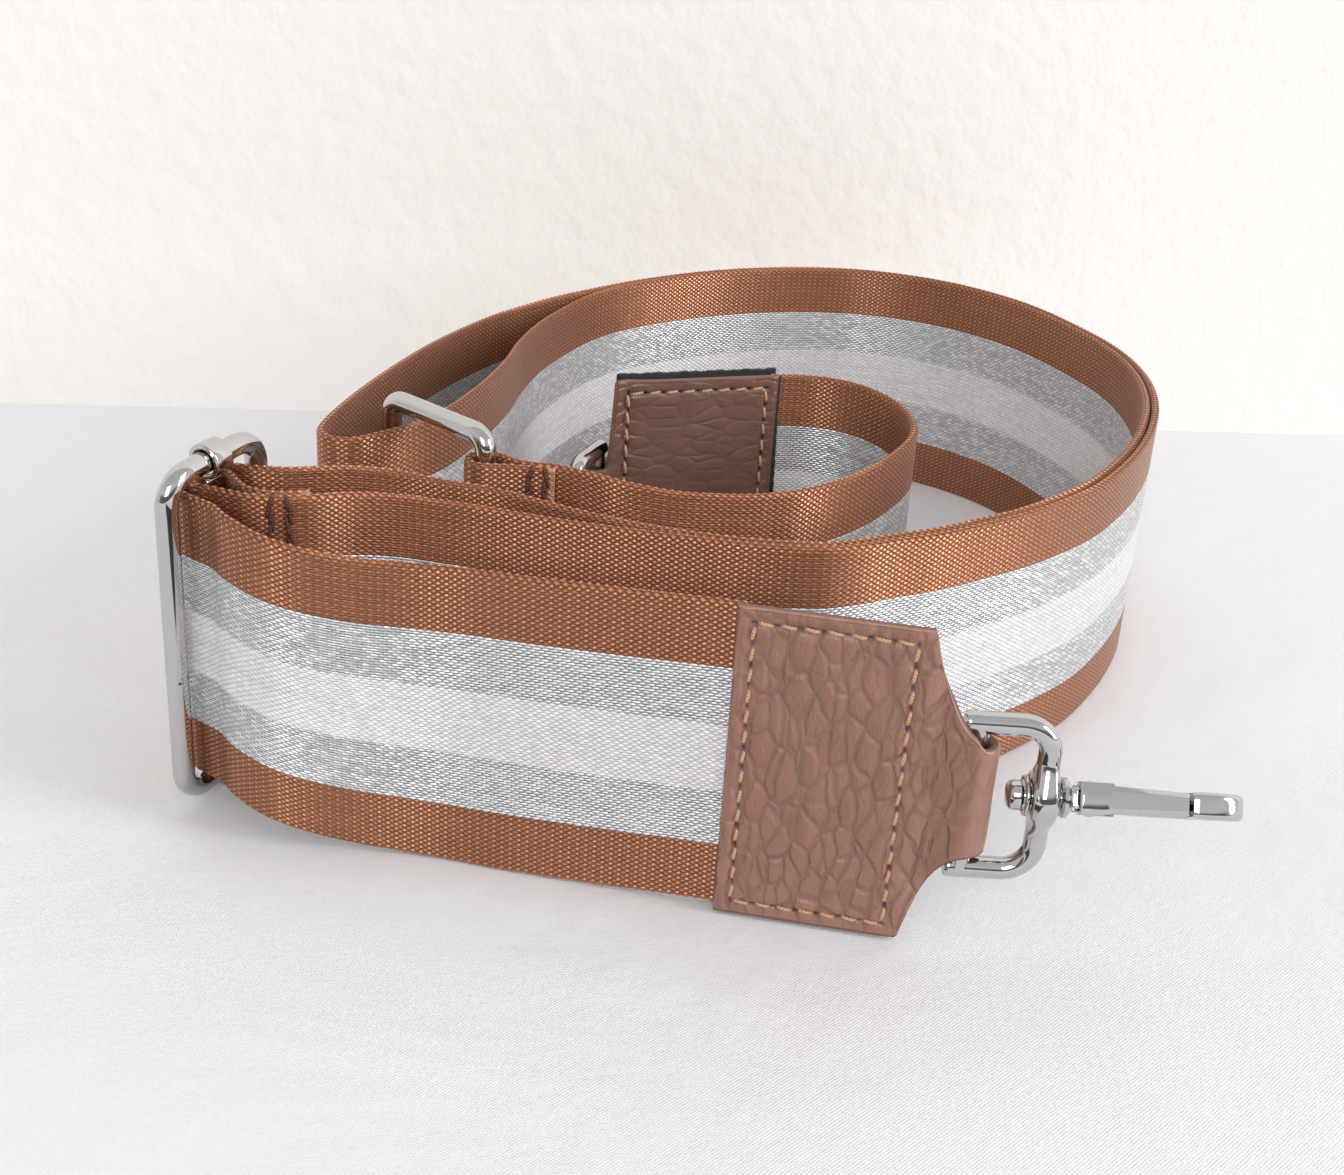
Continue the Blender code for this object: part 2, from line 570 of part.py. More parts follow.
def build_hook(letter, place):
    """Hook body, washer, gate, pin and spring, in the swivel's own frame; the gate faces -Y."""
    line = smooth([Vector((LUG_START + along * HOOK_LONG, side * HOOK_BELLY, 0.0))
                   for along, side in HOOK_LINE_SHARES])
    hook = to_mesh(wire("hook_%s" % letter, line, HOOK_WIRE, METAL, place, closed=False))
    head = rod_mesh("head", (HEAD_START, 0, 0), (HEAD_END, 0, 0), HEAD_RADIUS)
    stem = rod_mesh("stem", (HEAD_END - HEAD_LONG / 2, 0, 0), (LUG_START + LUG_SINK, 0, 0), STEM_RADIUS)
    collar = rod_mesh("collar", (COLLAR_START, 0, 0), (COLLAR_END, 0, 0), COLLAR_RADIUS)
    lug = box_mesh("lug", (LUG_START, -LUG_LOW, -LUG_HALF), (LUG_END, LUG_HIGH, LUG_HALF))
    for name, mesh in (("head", head), ("stem", stem), ("collar", collar), ("lug", lug)):
        combine(hook, cutter("%s_%s" % (name, letter), mesh, place), "UNION")
    slot = box_mesh("slot", (SLOT_START, -LUG_LOW - GAP, -SLOT_HALF),
                    (LUG_END + GAP, SLOT_DEEP - LUG_LOW, SLOT_HALF))
    pin_hole = rod_mesh("pin_hole", (PIN_ALONG, -PIN_SIDE, -PIN_HALF), (PIN_ALONG, -PIN_SIDE, PIN_HALF),
                        PIN_RADIUS + PIN_SLACK)
    combine(hook, cutter("slot_%s" % letter, slot, place), "DIFFERENCE")
    combine(hook, cutter("pin_hole_%s" % letter, pin_hole, place), "DIFFERENCE")
    build_washer(letter, place)
    axis = add_empty("gate_%s_axis" % letter, Matrix.Translation((PIN_ALONG, -PIN_SIDE, 0.0)), place)
    build_gate(letter, axis)
    pin = rod_mesh("gate_pin_%s" % letter, (0, 0, -PIN_HALF), (0, 0, PIN_HALF), PIN_RADIUS)
    add_piece("gate_pin_%s" % letter, pin, METAL, axis)
    build_spring(letter, axis)


def build_washer(letter, place):
    """The loose washer under the swivel's riveted head."""
    end = WASHER_START + WASHER_THICK
    mesh = rod_mesh("swivel_washer_%s" % letter, (WASHER_START, 0, 0), (end, 0, 0), WASHER_RADIUS)
    washer = add_piece("swivel_washer_%s" % letter, mesh, METAL, place)
    hole = rod_mesh("washer_hole", (WASHER_START - GAP, 0, 0), (end + GAP, 0, 0),
                    STEM_RADIUS + BORE_SLACK)
    combine(washer, cutter("washer_hole_%s" % letter, hole, place), "DIFFERENCE")


def build_gate(letter, axis):
    """The lever that closes the hook: a plate that narrows to its tip, with two cheeks for the pin."""
    start = SLOT_START - PIN_ALONG
    end = start + GATE_LONG
    top = PIN_SIDE - GATE_OUTER
    plate = bpy.data.meshes.new("gate_%s" % letter)
    shape = bmesh.new()
    bmesh.ops.create_cube(shape, size=1.0)
    for vert in shape.verts:
        tip = vert.co.x > 0
        half = GATE_TIP_HALF if tip else GATE_HALF
        vert.co = Vector((end if tip else start, top if vert.co.y < 0 else top + GATE_PLATE,
                          half if vert.co.z > 0 else -half))
    shape.to_mesh(plate)
    shape.free()
    gate = add_piece("gate_%s" % letter, plate, METAL, axis)
    for number, way in enumerate((-1, 1)):
        inner, outer = sorted((way * (LUG_HALF + GAP), way * (GATE_HALF - GATE_EDGE)))
        cheek = box_mesh("cheek", (start + GATE_EDGE, top + GATE_PLATE / 2, inner),
                         (start + GATE_CHEEK_LONG, top + GATE_CHEEK_DEEP, outer))
        combine(gate, cutter("cheek_%s_%d" % (letter, number), cheek, axis), "UNION")
    hole = rod_mesh("gate_hole", (0, 0, -2 * GATE_HALF), (0, 0, 2 * GATE_HALF), PIN_RADIUS + PIN_SLACK)
    combine(gate, cutter("gate_hole_%s" % letter, hole, axis), "DIFFERENCE")


def build_spring(letter, axis):
    """The torsion spring wound round the pin, one leg on the hook and one under the gate."""
    count = int(SPRING_TURNS * SPRING_POINTS)
    start = -SPRING_PITCH * SPRING_TURNS / 2
    coil = []
    for step in range(count + 1):
        turn = step / SPRING_POINTS
        angle = pi / 2 + 2 * pi * turn
        coil.append(Vector((
            SPRING_RADIUS * cos(angle), SPRING_RADIUS * sin(angle), start + SPRING_PITCH * turn)))
    first = Vector((-SPRING_ARM, 0.0, 0.0)) + coil[0]
    last = Vector((SPRING_LEG, 0.0, 0.0)) + coil[-1]
    wire("gate_spring_%s" % letter, [first] + coil + [last], SPRING_WIRE, METAL, axis, closed=False)


def build_loop_stitching(name, rows, share, base, front):
    """A tall narrow ring of thread on the sewn loop's outer face."""
    points = route_points(rows, base)
    first, last = (leaned(point, WEB_WIDTH / 2) for point in points)
    flat = Vector((last.x - first.x, last.y - first.y, 0.0)).normalized()
    side = UP.cross(flat) * -front
    middle = first.lerp(last, share) + side * (WEB_THICK / 2 + GAP + THREAD)
    width = leaned(points[0], WEB_WIDTH) - leaned(points[0], 0.0)
    place = add_empty(name + "_frame", frame_at(middle, flat, width))
    loop = rounded_loop(LOOP_STITCH_WIDE, LOOP_STITCH_TALL, (STITCH_CORNER,) * 4, 2)
    wire(name, loop, THREAD, THREAD_BROWN, place)


clear_scene()
PARTS, CUTTERS = make_collections()
WEAVE = finish_material("woven_webbing", (0.42, 0.19, 0.09), 0.55)
HIDE = finish_material("pebbled_leather", (0.25, 0.12, 0.09), 0.6)
BACKING_BLACK = finish_material("black_backing", (0.02, 0.02, 0.025), 0.8)
THREAD_TAN = finish_material("tan_thread", (0.62, 0.42, 0.25), 0.7)
THREAD_BROWN = finish_material("brown_thread", (0.2, 0.09, 0.05), 0.7)
METAL = finish_material("polished_nickel", (0.8, 0.8, 0.8), 0.12, 1.0)

build_webbing()
build_slider()
build_ring()
build_loop_stitching("slider_loop_stitching", SEWN_LOOP[-3:-1], SLIDER_STITCH_SHARE, SLIDER_CENTRE, 1)
build_loop_stitching("ring_loop_stitching", RING_TAIL[0:2], RING_STITCH_SHARE, Vector(), -1)
for mark, tab_start, tab_along, tab_side, hook_along, hook_roll in (
        ("a", TAB_A_START, TAB_A_ALONG, 1, HOOK_A_ALONG, HOOK_A_ROLL),
        ("b", TAB_B_START, TAB_B_ALONG, -1, HOOK_B_ALONG, HOOK_B_ROLL)):
    eye_middle = build_tab(mark, tab_start, tab_along, tab_side)
    eye_axis = add_empty("eye_%s_axis" % mark, frame_at(eye_middle, hook_along))
    build_eye(mark, eye_axis)
    swivel = add_empty("swivel_%s_axis" % mark, Matrix.Rotation(hook_roll, 4, "X"), eye_axis)
    build_hook(mark, swivel)
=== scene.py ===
"""Detachable bag strap: striped woven webbing standing on edge in loops, with a wire slider, a
joining ring, two leather end tabs and two swivel snap hooks. Metres, in the CAD model's frame."""
import json
from collections import namedtuple
from math import cos, pi, radians, sin

import bmesh
import bpy
import numpy as np
from bpy.props import FloatProperty, FloatVectorProperty, PointerProperty
from mathutils import Matrix, Vector


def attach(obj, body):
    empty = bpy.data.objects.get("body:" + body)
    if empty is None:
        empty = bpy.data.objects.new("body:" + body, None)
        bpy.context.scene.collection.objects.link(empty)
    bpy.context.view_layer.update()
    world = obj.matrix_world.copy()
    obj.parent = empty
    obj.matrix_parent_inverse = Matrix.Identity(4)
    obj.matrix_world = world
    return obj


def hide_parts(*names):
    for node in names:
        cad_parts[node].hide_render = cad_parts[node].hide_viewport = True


bl_info = {
    "name": "Detachable Bag Strap",
    "version": (1, 0, 0),
    "blender": (4, 5, 0),
    "location": "3D View > Sidebar > Bag Strap",
    "description": "Builds a striped bag strap with its slider, ring, leather tabs and snap hooks",
    "category": "Add Mesh",
}

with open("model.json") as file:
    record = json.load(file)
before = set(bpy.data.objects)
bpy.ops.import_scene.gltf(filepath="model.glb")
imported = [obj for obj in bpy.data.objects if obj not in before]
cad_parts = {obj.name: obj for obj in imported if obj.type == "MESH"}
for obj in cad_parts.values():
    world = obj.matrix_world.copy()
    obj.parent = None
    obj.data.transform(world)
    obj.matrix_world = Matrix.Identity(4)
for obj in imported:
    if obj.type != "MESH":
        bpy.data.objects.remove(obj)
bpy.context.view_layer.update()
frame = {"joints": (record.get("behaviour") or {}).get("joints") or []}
JOINTS = {joint["name"]: joint for joint in frame["joints"]}

MM = 0.001
GAP = 0.0003
UP = Vector((0.0, 0.0, 1.0))
MIDDLE = Vector((0.00019, -0.00215, -0.000055))
# Half of one layer of webbing, which is also the radius of its selvedge.
WEB_HALF_THICK = 0.0007

# Places that the solids have too, in metres, or in mm where a table says so.
LEAN = radians(6.5)
LEAN_WAY = Vector((0.4, -1.0, 0.0)).normalized()
LEAN_NONE, LEAN_FULL, LEAN_BEHIND = -0.032, -0.070, -0.052
BEND_LEAN = radians(8.5)
BEND_WAY = Vector((-0.4, -1.0, 0.0)).normalized()
BEND_NONE, BEND_FULL = Vector((-0.010, 0.035)), Vector((0.045, -0.010))
BEND_FRONT = -0.071
SLIDER_WIRE, SLIDER_HALF, SLIDER_CORNER = 0.0017, 0.00972, 0.0045
SLIDER_TURN = Vector((0.437, 0.900, 0.0)).normalized()
SLIDER_CENTRE = Vector((-0.0786, -0.0642, 0.0))
SLIDER_FLOOR, SLIDER_INSIDE = 0.0003, 0.0528
BAR_THICK, BAR_HALF, BAR_SLACK, BAR_ROLL = 0.0009, 0.0018, 0.0002, radians(275.0)
RING_WIRE, RING_CORNER, RING_INSIDE, RING_FLOOR = 0.0017, 0.0028, 0.0520, 0.0003
RING_NEAR, RING_FAR = Vector((-0.0386, -0.0503, 0.0)), Vector((-0.0560, -0.0355, 0.0))
LEATHER, LEATHER_TALL, NECK_LOW, NECK_HIGH = 0.0014, 0.0508, 0.0093, 0.0083
BACKING, BACKING_TALL = 0.0010, 0.0524
EYE_LOWER, EYE_LOWER_START, EYE_LOWER_FULL = 0.0012, 0.0050, 0.0085
TAB_SQUARE, BAR_REACH, WEB_INSIDE = 0.0270, 0.0345, 0.0208
BACKING_LONG, BACKING_PROUD, TAB_LIFT, TAB_MIDDLE = 0.0262, 0.0006, 0.0008, 0.025
STITCH_INSET, STITCH_LONG = 0.0024, 0.0224
# Each tab's free edge, its direction, the side its leather is on, and as the photo shows them the
# length of its square part, how far its felt's upper edge stands over its leather's, where its
# taper ends and how far the front layer's neck stands up before the eye's upper leg.
Tab = namedtuple("Tab", "start along front square felt_above taper neck_lift")
TABS = {
    "a": Tab(Vector((0.0015, -0.0898, 0.0)), Vector((0.988, -0.152, 0.0)).normalized(), -1,
             square=0.0270, felt_above=-0.0018, taper=0.0370, neck_lift=0.0013),
    "b": Tab(Vector((0.0090, 0.0103, 0.0)), Vector((-0.951, -0.309, 0.0)).normalized(), 1,
             square=0.0316, felt_above=0.0003, taper=0.0335, neck_lift=0.0)}
TAB_PINCH = 0.0011
# Tab b's hide lies calmer than tab a's, and is drawn darker: painted shade, as it stands in the shadow of
# the webbing's front runs.
SECOND_CALM, SECOND_PAINTED_SHADE = 0.78, 0.56
# The hide's relief: its soft swells, the seam and its holes, the ridge inside the seam, the
# ridge at the free edge and the worn rim.
SWELL_TALL = 0.00007
SEWN_DEEP, SEWN_REACH = 0.00016, 0.00050
HOLE_DEEP, HOLE_LONG, HOLE_WIDE = 0.00034, 0.00050, 0.00024
RIDGE_TALL, RIDGE_INSIDE, RIDGE_REACH = 0.00010, 0.0016, 0.0010
FREE_TALL, FREE_INSIDE, FREE_REACH = 0.00022, 0.0010, 0.0007
RIM_DEEP, RIM_REACH = 0.00038, 0.00045
EYE_WIRE, EYE_TALL, EYE_DEEP = 0.00165, 0.0250, 0.0104
EYE_CORNER, EYE_TIP_CORNER = 0.0046, 0.0005
BOSS_START, BOSS_END, BOSS_RADIUS = 0.0084, 0.0124, 0.0038
STEM_RADIUS, BORE_RADIUS = 0.0013, 0.00145
HEAD_START, HEAD_END, HEAD_RADIUS = 0.0052, 0.0072, 0.0022
WASHER_START, WASHER_END, WASHER_RADIUS = 0.0075, 0.0081, 0.0030
COLLAR_START, COLLAR_END, COLLAR_RADIUS = 0.0127, 0.0138, 0.0029
LUG_START, LUG_END, LUG_LOW, LUG_HIGH, LUG_HALF = 0.0136, 0.0184, 0.0036, 0.0026, 0.0015
SLOT_START, SLOT_HALF, SLOT_DEEP = 0.0146, 0.0008, 0.0031
PIN_ALONG, PIN_SIDE, PIN_RADIUS = 0.0164, 0.0022, 0.0007
GATE_LONG, GATE_PLATE, GATE_HALF, GATE_TIP_HALF = 0.0144, 0.0008, 0.0024, 0.0020
GATE_OUTER, GATE_CHEEK_LONG, GATE_CHEEK_DEEP = 0.0053, 0.0046, 0.0036
PIN_SPARE = 0.00015
EYE_LEG_END, LENS_HALF = -0.0021, 0.0062
COIL_RADIUS, COIL_WIRE, COIL_PITCH = 0.00125, 0.0002, 0.00045
COIL_TURNS, COIL_HOOK_LEG, COIL_GATE_LEG, COIL_SLANT = 1.5, 0.0018, 0.0022, radians(27.0)
HOOK_WIRE, HOOK_BELLY, HOOK_LONG = 0.0019, 0.0052, 0.02267
# The hook's middle line from its lug to its tip, as shares of its length and of its belly.
HOOK_LINE_SHARES = (
    (0.089, 0.077), (0.205, 0.50), (0.339, 0.846), (0.496, 1.0), (0.656, 0.981), (0.808, 0.769),
    (0.933, 0.365), (1.0, -0.077), (0.969, -0.5), (0.871, -0.712), (0.719, -0.75))

# The brown seams of the webbing's two loops: two columns of slanting stitches.
SEAM_STITCHES, SEAM_START, SEAM_PITCH, SEAM_COLUMN = 88, 0.0014, 0.00111, 0.0013
SEAM_LONG, SEAM_RADIUS, SEAM_SLANTS, SEAM_STRAY = 0.0026, 0.00030, (0.16, -0.12), 0.00035

# The camera was fitted to the photograph: pixels, radians and metres.
PHOTO_WIDE, PHOTO_TALL, FOCAL, SENSOR = 1344.0, 1175.0, 1700.0, 36.0
CAMERA_SPOT, CAMERA_PITCH, CAMERA_ROLL = (-0.00819, -0.29785, 0.152155), 0.44414, 0.064396
# Where the wall's foot meets the photograph's left and right side, across and down.
WALL_FOOT = ((0.0, 403.0), (PHOTO_WIDE, 435.0))
WALL_PAST, WALL_TALL, FLOOR_WIDE = 2.0, 3.0, 6.0

# The webbing's routes on the floor: across, back and the height of the lower edge, in mm.
SEWN_LOOP = (
    (14.8, -2.5, 5.9), (12.5, -3.1, 6.0), (10.1, -3.6, 6.1), (7.8, -3.5, 6.2), (5.4, -2.3, 6.2),
    (3.4, 0.2, 6.2), (2.2, 2.1, 6.2), (1.5, 2.85, 6.2), (0.75, 3.05, 6.2), (-0.1, 2.75, 6.2),
    (-0.6, 2.1, 6.2), (-1.3, 0.6, 6.2), (-2.05, -1.0, 6.2), (-2.2, -1.9, 6.2), (-1.75, -2.75, 6.2),
    (-0.8, -3.1, 6.2), (0.6, -3.4, 6.2), (3.3, -4.4, 6.2), (6.6, -5.35, 6.2), (10.1, -5.4, 6.1),
    (12.6, -4.95, 6.0), (15.1, -4.3, 5.9))
MIDDLE_RUN = (
    (-57.1, -65.6, 5.0), (-50.8, -64.3, 3.9), (-43.8, -64.3, 2.7), (-35.8, -64.7, 1.6),
    (-28.0, -65.0, 0.8), (-21.0, -65.3, 0.3), (-12.6, -66.0, 0.0))
BIG_LOOP = (
    (-5.5, -66.9, 0.0), (3.0, -68.0, 0.0), (13.7, -67.7, 0.0), (19.5, -65.8, 0.0),
    (26.2, -62.1, 0.0), (33.3, -58.3, 0.0), (40.6, -53.2, 0.0), (48.2, -47.5, 0.0),
    (54.4, -41.8, 0.0), (61.3, -34.3, 0.0), (67.2, -25.6, 0.0), (73.5, -13.9, 0.0),
    (79.1, 0.2, 0.0), (82.6, 14.5, 0.0), (83.6, 30.0, 0.0), (81.5, 45.4, 0.0), (75.6, 60.9, 0.0),
    (68.4, 74.2, 0.0), (60.2, 83.4, 0.0), (51.2, 90.0, 0.0), (41.3, 94.0, 0.0),
    (30.3, 95.8, 0.0), (17.6, 94.4, 0.0), (5.2, 90.4, 0.0), (-7.2, 83.8, 0.0),
    (-18.5, 75.4, 0.0), (-25.5, 68.9, 0.0))
LEFT_TURN = (
    (-36.7, 56.8, 0.0), (-42.5, 48.9, 0.0), (-47.8, 40.3, 0.1), (-53.4, 26.7, 0.6),
    (-57.4, 13.2, 1.4), (-61.0, -3.7, 2.5), (-63.5, -17.5, 3.3), (-65.4, -30.9, 4.0),
    (-66.4, -38.3, 4.0), (-66.3, -42.6, 4.0), (-64.6, -45.2, 4.0), (-61.9, -45.8, 4.0),
    (-59.2, -44.6, 4.0), (-55.8, -41.2, 4.0), (-52.0, -36.7, 4.0), (-49.2, -31.9, 4.0),
    (-47.0, -26.3, 4.0), (-45.6, -21.0, 3.8), (-43.5, -10.0, 3.1), (-41.6, 4.5, 2.2),
    (-40.5, 20.4, 1.3), (-37.9, 36.5, 0.5), (-34.0, 49.3, 0.1), (-29.8, 59.3, 0.0))
BACK_RUN = (
    (-12.5, -63.6, 0.0), (-18.9, -61.9, 0.3), (-26.2, -59.8, 0.8), (-35.7, -57.3, 1.7),
    (-45.1, -56.2, 2.9), (-52.5, -54.9, 4.1), (-59.3, -55.0, 5.1), (-64.3, -56.6, 5.7))
SLIDER_TURN_ROUTE = (
    (9.4, 6.0, 6.0), (5.4, 5.5, 6.2), (0.5, 5.6, 6.2), (-2.9, 3.2, 6.2), (-4.3, -0.5, 6.2),
    (-4.2, -4.3, 6.2), (-1.3, -7.1, 6.2), (2.5, -9.8, 6.2))
FRONT_RUN = (
    (-73.6, -77.0, 6.1), (-70.9, -79.3, 5.8), (-67.9, -81.0, 5.2), (-65.0, -81.9, 4.5),
    (-60.3, -82.2, 3.2), (-53.8, -81.8, 1.5), (-47.0, -81.7, 0.5), (-40.0, -82.4, 0.0),
    (-30.0, -84.4, 0.0), (-15.0, -87.0, 0.3))
RING_TAIL = (
    (-27.6, -53.3, 4.0), (-31.0, -52.95, 4.0), (-34.3, -52.8, 4.0), (-37.0, -52.95, 4.0))
SHORT_RUN = (
    (-36.3, -48.4, 4.0), (-33.6, -50.4, 4.0), (-31.0, -51.15, 4.0), (-27.6, -51.5, 4.0),
    (-22.0, -52.9, 3.7), (-17.0, -53.9, 3.0), (-8.5, -53.2, 1.5), (0.7, -50.3, 0.4),
    (6.0, -48.2, 0.0), (12.2, -45.1, 0.0), (19.2, -39.2, 0.0), (25.9, -30.4, 0.0),
    (31.3, -20.0, 0.0), (33.4, -12.6, 0.0), (33.2, -5.0, 0.0), (30.7, 3.1, 0.0),
    (25.4, 8.9, 0.3), (18.2, 11.4, 0.6))


def linear(colour):
    """An sRGB hex colour as linear red, green and blue."""
    shares = [int(colour[i:i + 2], 16) / 255 for i in (0, 2, 4)]
    return tuple(s / 12.92 if s <= 0.04045 else ((s + 0.055) / 1.055) ** 2.4 for s in shares)


class StrapSizes(bpy.types.PropertyGroup):
    """Sizes of the webbing's weave, the leather's grain and the stitches."""
    web_width: FloatProperty(
        name="Webbing width", description="Width of the woven webbing from edge to edge",
        default=0.050, min=0.02, max=0.08, unit="LENGTH", precision=4)
    web_thick: FloatProperty(
        name="Webbing thickness", description="Thickness of one layer of webbing",
        default=0.0014, min=0.0008, max=0.003, unit="LENGTH", precision=5)
    float_long: FloatProperty(
        name="Float length", description="Length of webbing from one raised yarn to the next in its row",
        default=0.0013, min=0.0006, max=0.004, unit="LENGTH", precision=5)
    yarn_wide: FloatProperty(
        name="Yarn spacing", description="Distance across the webbing from one warp yarn to the next",
        default=0.000439, min=0.0003, max=0.003, unit="LENGTH", precision=6)
    cream_half: FloatProperty(
        name="Cream half width", description="Distance from the webbing's middle to the silver stripes",
        default=0.0055, min=0.0, max=0.02, unit="LENGTH", precision=5)
    silver_half: FloatProperty(
        name="Silver half width", description="Distance from the webbing's middle to the brown stripes",
        default=0.01475, min=0.0, max=0.03, unit="LENGTH", precision=5)
    stitch_pitch: FloatProperty(
        name="Stitch pitch", description="Distance from one stitch to the next on the leather",
        default=0.0032, min=0.002, max=0.008, unit="LENGTH", precision=5)
    thread_wide: FloatProperty(
        name="Thread width", description="Width of the sewing thread on the leather",
        default=0.00056, min=0.0003, max=0.0015, unit="LENGTH", precision=5)
    grain_long: FloatProperty(
        name="Leather grain", description="Length of one pebble of the leather's grain",
        default=0.0052, min=0.001, max=0.01, unit="LENGTH", precision=5)


class StrapColours(bpy.types.PropertyGroup):
    """Colours of the strap's materials."""
    nylon: FloatVectorProperty(
        name="Brown nylon", description="Colour of the brown yarns at the webbing's two edges",
        subtype="COLOR", size=3, min=0, max=1, default=linear("A36747"))
    lurex: FloatVectorProperty(
        name="Silver lurex", description="Colour of the glittering metal yarns",
        subtype="COLOR", size=3, min=0, max=1, default=linear("E6E7EA"))
    cream: FloatVectorProperty(
        name="Cream nylon", description="Colour of the pale yarns in the webbing's middle",
        subtype="COLOR", size=3, min=0, max=1, default=linear("EDEBED"))
    leather: FloatVectorProperty(
        name="Leather", description="Colour of the pebbled leather tabs",
        subtype="COLOR", size=3, min=0, max=1, default=linear("966B5C"))
    tan: FloatVectorProperty(
        name="Tan thread", description="Colour of the thread on the leather",
        subtype="COLOR", size=3, min=0, max=1, default=linear("CFA283"))
    seam: FloatVectorProperty(
        name="Brown thread", description="Colour of the thread that closes the webbing's loops",
        subtype="COLOR", size=3, min=0, max=1, default=linear("634034"))
    felt: FloatVectorProperty(
        name="Backing felt", description="Colour of the black layer behind each tab",
        subtype="COLOR", size=3, min=0, max=1, default=linear("1E1E22"))
    nickel: FloatVectorProperty(
        name="Nickel plate", description="Colour of the polished plate on all the metal",
        subtype="COLOR", size=3, min=0, max=1, default=linear("C4C3C2"))
    cloth: FloatVectorProperty(
        name="Floor cloth", description="Colour of the white cloth that the strap stands on",
        subtype="COLOR", size=3, min=0, max=1, default=linear("E6E6E8"))
    wall: FloatVectorProperty(
        name="Wall", description="Colour of the painted wall behind the strap",
        subtype="COLOR", size=3, min=0, max=1, default=linear("F0ECE8"))


def add(tree, kind, *inputs, **settings):
    """Add one node. kind may name its operation after a colon. inputs fill its sockets in order,
    or by name where they are in a dict: each is a number, a colour, a node or a node's output."""
    kind, _, operation = kind.partition(":")
    made = tree.nodes.new("ShaderNode" + kind)
    if operation:
        made.operation = operation
    for key, value in settings.items():
        setattr(made, key, value)
    filled = dict(enumerate(item for item in inputs if not isinstance(item, dict)))
    for item in inputs:
        if isinstance(item, dict):
            filled.update(item)
    for key, value in filled.items():
        if isinstance(value, bpy.types.Node):
            value = value.outputs[0]
        if isinstance(value, bpy.types.NodeSocket):
            tree.links.new(value, made.inputs[key])
        else:
            made.inputs[key].default_value = value
    return made


def mix(tree, share, first, second):
    """The colour between two others, by a share."""
    return add(tree, "Mix", {0: share, 6: first, 7: second}, data_type="RGBA").outputs[2]


def new_material(name):
    """A node material that still has its plain shader, with its tree and that shader."""
    material = bpy.data.materials.new(name)
    material.use_nodes = True
    tree = material.node_tree
    return material, tree, tree.nodes["Principled BSDF"]


def shade(tree, shader, **values):
    """Set or link the shader's sockets, named with _ for spaces."""
    for name, value in values.items():
        socket = shader.inputs[name.replace("_", " ")]
        if isinstance(value, bpy.types.Node):
            value = value.outputs[0]
        if isinstance(value, bpy.types.NodeSocket):
            tree.links.new(value, socket)
        else:
            socket.default_value = value


